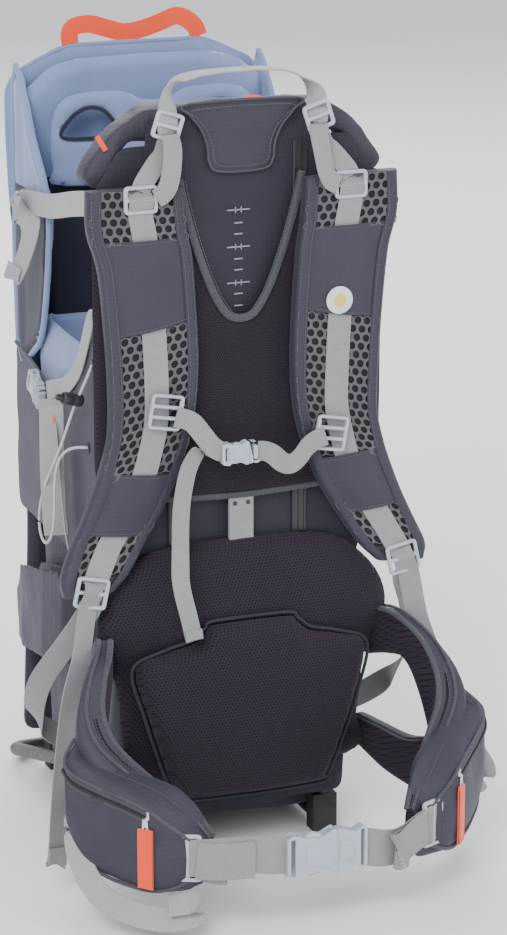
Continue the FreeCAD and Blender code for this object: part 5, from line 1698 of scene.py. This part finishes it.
class CARRIER_OT_bag(bpy.types.Operator):
    """Make the lower compartment, the rear and side panels and the side pockets"""
    bl_idname = "carrier.bag"
    bl_label = "Bag"

    def execute(self, context):
        soft = soft_copy(["lower_compartment"], 8.0, inset=3.0, smoothing=8)
        crumple(soft, 9.0, 6.0, 32.0, (1, 1, 0.6))
        obj = finish_piece("lower_compartment_bag", soft, "shell_ripstop", "pack",
                           ["lower_compartment"], angle=80)

        def rear_place(x, z, height):
            bow = 3.0 * (1 - (x / 140) ** 2)
            folds = 1.5 * noise.noise(Vector((x * 0.02, z * 0.012, 7)))
            return at(x, 302 + height * 0.5 + bow + folds - 2, z)

        outline = filleted(REAR_OUTLINE, 14)
        bm = pad(outline, 11, rear_place, 13, 9,
                 groove=lambda x, z: channel(abs(abs(x) - 74), 4, 3) + channel(abs(z - 300), 4, 3)
                 + channel(abs(z - 560), 4, 3))
        bmesh.ops.recalc_face_normals(bm, faces=bm.faces)
        bm.normal_update()
        for face in bm.faces:
            middle = face.calc_center_median()
            child_side = middle.y < at(0, 302, 0).y
            face.material_index = 1 if middle.z > 0.44 and (child_side or middle.z > 0.772) else 0
        obj = finish_piece("rear_shell", bm, ["shell_ripstop", "seat_lining"], "pack",
                           ["rear_panel"], angle=60)
        bm = bmesh.new()
        rim = [(x, 303, z) for x, z in outline]
        piping(bm, rim + rim[:1], 2.6, steps=1, flat=0.9, wish=(0, 1, 0))
        for face in bm.faces:
            face.material_index = 1 if face.calc_center_median().z > 0.62 else 0
        finish_piece("rear_binding", bm, ["piping_cloth", "seat_lining"], "pack")
        tape, teeth = bmesh.new(), bmesh.new()
        arch = [(-74, 308.5, 96), (-78, 309, 150), (-76, 309.3, 220), (-60, 309.6, 262), (-30, 310, 276),
                (0, 310, 279), (30, 310, 276), (60, 309.6, 262), (76, 309.3, 220), (78, 309, 150), (74,
                        308.5, 96)]
        strap(tape, arch, [(1, 0, 0), (1, 0, -0.4), (0, 0, -1), (-1, 0, -0.4), (-1, 0, 0)], 14, 1.0)
        finish_piece("rear_zip_tape", tape, "piping_cloth", "pack")
        points = [at(*p) + Vector((0, 0.001, 0)) for p in smooth_line(arch, 8)]
        stitches(teeth, points, (0, 1, 0), pitch=2.2, length=1.2, size=3.6)
        finish_piece("rear_zip_teeth", teeth, "black_plastic", "pack", merge=False,
                     recalc=False)

        for word, side in SIDES.items():
            outline = filleted(SIDE_OUTLINE, 16)

            def lay(y, z, side=side):
                bulge = 2.4 * math.sin(min(1, max(0, (y - 6) / 290)) * math.pi)
                folds = 1.6 * noise.noise(Vector((y * 0.02, z * 0.03, side * 5)))
                return at(side * (135.2 + bulge * 0.8 + folds), y, z)

            bm = bend_sheet(cut_sheet(outline, 9), lay, 1.6)
            sheet = finish_piece(f"side_fabric_{word}", bm, "shell_ripstop", "pack",
                                 ["side_panels"], angle=60)

            outline = rounded(WING_OUTLINE, 3)

            def wing(y, z, height, side=side):
                return at(side * (132 + height), y, z)

            bm = pad(outline, 8, wing, 12, 8, groove=lambda y, z: channel(abs(y - 270), 4, 2))
            bmesh.ops.recalc_face_normals(bm, faces=bm.faces)
            inflate(bm, 3.0, 3.0)
            bmesh.ops.recalc_face_normals(bm, faces=bm.faces)
            bm.normal_update()
            for face in bm.faces:
                middle = face.calc_center_median()
                outer = middle.x * side > 0.1335 and middle.z < 0.652
                face.material_index = 1 if outer else 0
            obj = finish_piece(f"head_side_wing_{word}", bm, ["seat_lining", "shell_ripstop"], "pack",
                               ["head_wings"], angle=60)
            bm = bmesh.new()
            rim = [(side * 134, y, z) for y, z in outline]
            piping(bm, rim + rim[:1], 3.2, steps=1, flat=1.0, wish=(1, 0, 0))
            finish_piece(f"head_wing_edge_{word}", bm, "seat_lining", "pack")
            bm = bmesh.new()
            edge = [(side * 137, y, z) for y, z in SIDE_OUTLINE[2:]]
            piping(bm, edge, 2.4, flat=0.8, wish=(1, 0, 0))
            finish_piece(f"leg_opening_binding_{word}", bm, "piping_cloth", "pack")
        soft = soft_copy(["side_pockets"], 3.0, inset=0.2, smoothing=3)
        crumple(soft, 22.0, 1.6)
        obj = finish_piece("side_pocket_pair", soft, "shell_ripstop", "pack",
                           ["side_pockets"],
                           angle=80)
        return {"FINISHED"}


class CARRIER_OT_child_seat(bpy.types.Operator):
    """Make the child's seat, back pad and bib"""
    bl_idname = "carrier.child_seat"
    bl_label = "Child seat"

    def execute(self, context):
        soft = soft_copy(["child_seat"], 5.0, inset=0.8, smoothing=6)
        inflate(soft, 3.0, 4.0)
        obj = finish_piece("seat_bucket", soft, "seat_lining", "pack", ["child_seat"],
                           angle=80)
        outline = rounded(both_halves([(104, 442), (114, 470), (116, 560), (126, 630), (134, 690),
                                       (134, 742),
                                       (124, 758), (76, 781)]), 4)

        def back(x, z, height):
            return at(x, 271.5 - height, z)

        bm = pad(outline, 8, back, 18, 13, groove=lambda x, z: channel(abs(abs(x) - 62), 5, 3.5)
                 + channel(abs(z - 640 - 0.1 * abs(x)), 5, 3.5))
        # Painted shade: below 662 mm the cushion takes the near-black copy of the lining, standing for the
        # shade deep inside the seat.
        for face in bm.faces:
            face.material_index = 1 if face.calc_center_median().z < 0.662 else 0
        padded_piece("child_back_cushion", bm, ["seat_lining", "dark_lining"], "pack",
                     ["child_back_pad"], cap=4.0)
        bib = rounded(both_halves([(96, 652), (110, 672), (112, 712), (96, 744), (40, 748), (14, 738)]), 4)
        hole = rounded([(44, 703), (100, 703), (92, 722), (76, 732), (60, 731), (48, 720)], 4)
        other = [(-x, z) for x, z in reversed(hole)]

        def front(x, z, height):
            return at(x, 238.5 - height + 3 * (x / 110) ** 2, z)

        bm = pad(bib, 7, front, 8.4, 5, holes=[hole, other])
        padded_piece("child_bib_pad", bm, "seat_lining", "pack", ["child_bib"])
        bm = bmesh.new()
        # Painted shade: the arm holes' bindings take the near-black copy of the lining, standing for the
        # shade seen through the holes.
        for loop in (hole, other):
            ring = [(x, 235.5 + 3 * (x / 110) ** 2, z) for x, z in loop]
            piping(bm, ring + ring[:1], 2.4, steps=1, flat=1.0, wish=(0, 1, 0))
        finish_piece("arm_hole_binding", bm, "dark_lining", "pack")
        return {"FINISHED"}


class CARRIER_OT_badge(bpy.types.Operator):
    """Make the plain round badge on the shoulder strap"""
    bl_idname = "carrier.badge"
    bl_label = "Badge"

    def execute(self, context):
        bm = revolved(bmesh.new(), [(-1, 0), (-1, 13.2), (-0.2, 14), (0.6, 13.8), (1, 13.0), (1, 0)],
                      at(95, -35.2, 576), (0, -1, 0), 48)
        disc = bmesh.new()
        revolved(disc, [(1, 0), (1, 6.5), (1.5, 6.1), (1.5, 0)], at(95, -35.2, 576), (0, -1, 0), 36)
        finish_piece("badge_ground_disc", bm, "badge_ground", "yoke", ["strap_badge"])
        finish_piece("badge_centre_disc", disc, "badge_disc", "yoke")
        return {"FINISHED"}


# ---------------------------------------------------------------- sidebar, registration and making

STEPS = ("finishes", "camera", "cord", "frame", "lumbar", "panel", "shoulder_straps", "ladderlocks",
         "webbing", "buckles", "buckle_webbing", "hip_belt", "collar", "bag", "child_seat", "badge", "stage")


class CARRIER_PT_sidebar(bpy.types.Panel):
    """Sidebar with the carrier's colours, sizes and steps"""
    bl_label = "Child Carrier"
    bl_idname = "CARRIER_PT_sidebar"
    bl_space_type = "VIEW_3D"
    bl_region_type = "UI"
    bl_category = "Carrier"

    def draw(self, context):
        for group in (context.scene.carrier_finishes, context.scene.carrier_sizes):
            for prop in group.__annotations__:
                self.layout.prop(group, prop)
        for step in STEPS:
            self.layout.operator("carrier." + step)


CLASSES = (CarrierFinishes, CarrierSizes, CARRIER_OT_finishes, CARRIER_OT_camera, CARRIER_OT_cord,
           CARRIER_OT_frame, CARRIER_OT_lumbar, CARRIER_OT_panel, CARRIER_OT_shoulder_straps,
           CARRIER_OT_ladderlocks, CARRIER_OT_webbing, CARRIER_OT_buckles, CARRIER_OT_chest_and_waist_webbing,
           CARRIER_OT_hip_belt, CARRIER_OT_collar, CARRIER_OT_bag, CARRIER_OT_child_seat, CARRIER_OT_badge,
           CARRIER_OT_stage, CARRIER_PT_sidebar)


def register():
    for cls in CLASSES:
        bpy.utils.register_class(cls)
    bpy.types.Scene.carrier_finishes = bpy.props.PointerProperty(type=CarrierFinishes)
    bpy.types.Scene.carrier_sizes = bpy.props.PointerProperty(type=CarrierSizes)


def unregister():
    del bpy.types.Scene.carrier_finishes
    del bpy.types.Scene.carrier_sizes
    for cls in reversed(CLASSES):
        bpy.utils.unregister_class(cls)


def main():
    """Makes the carrier step by step."""
    register()
    for step in STEPS:
        getattr(bpy.ops.carrier, step)()


if __name__ == "__main__":
    main()
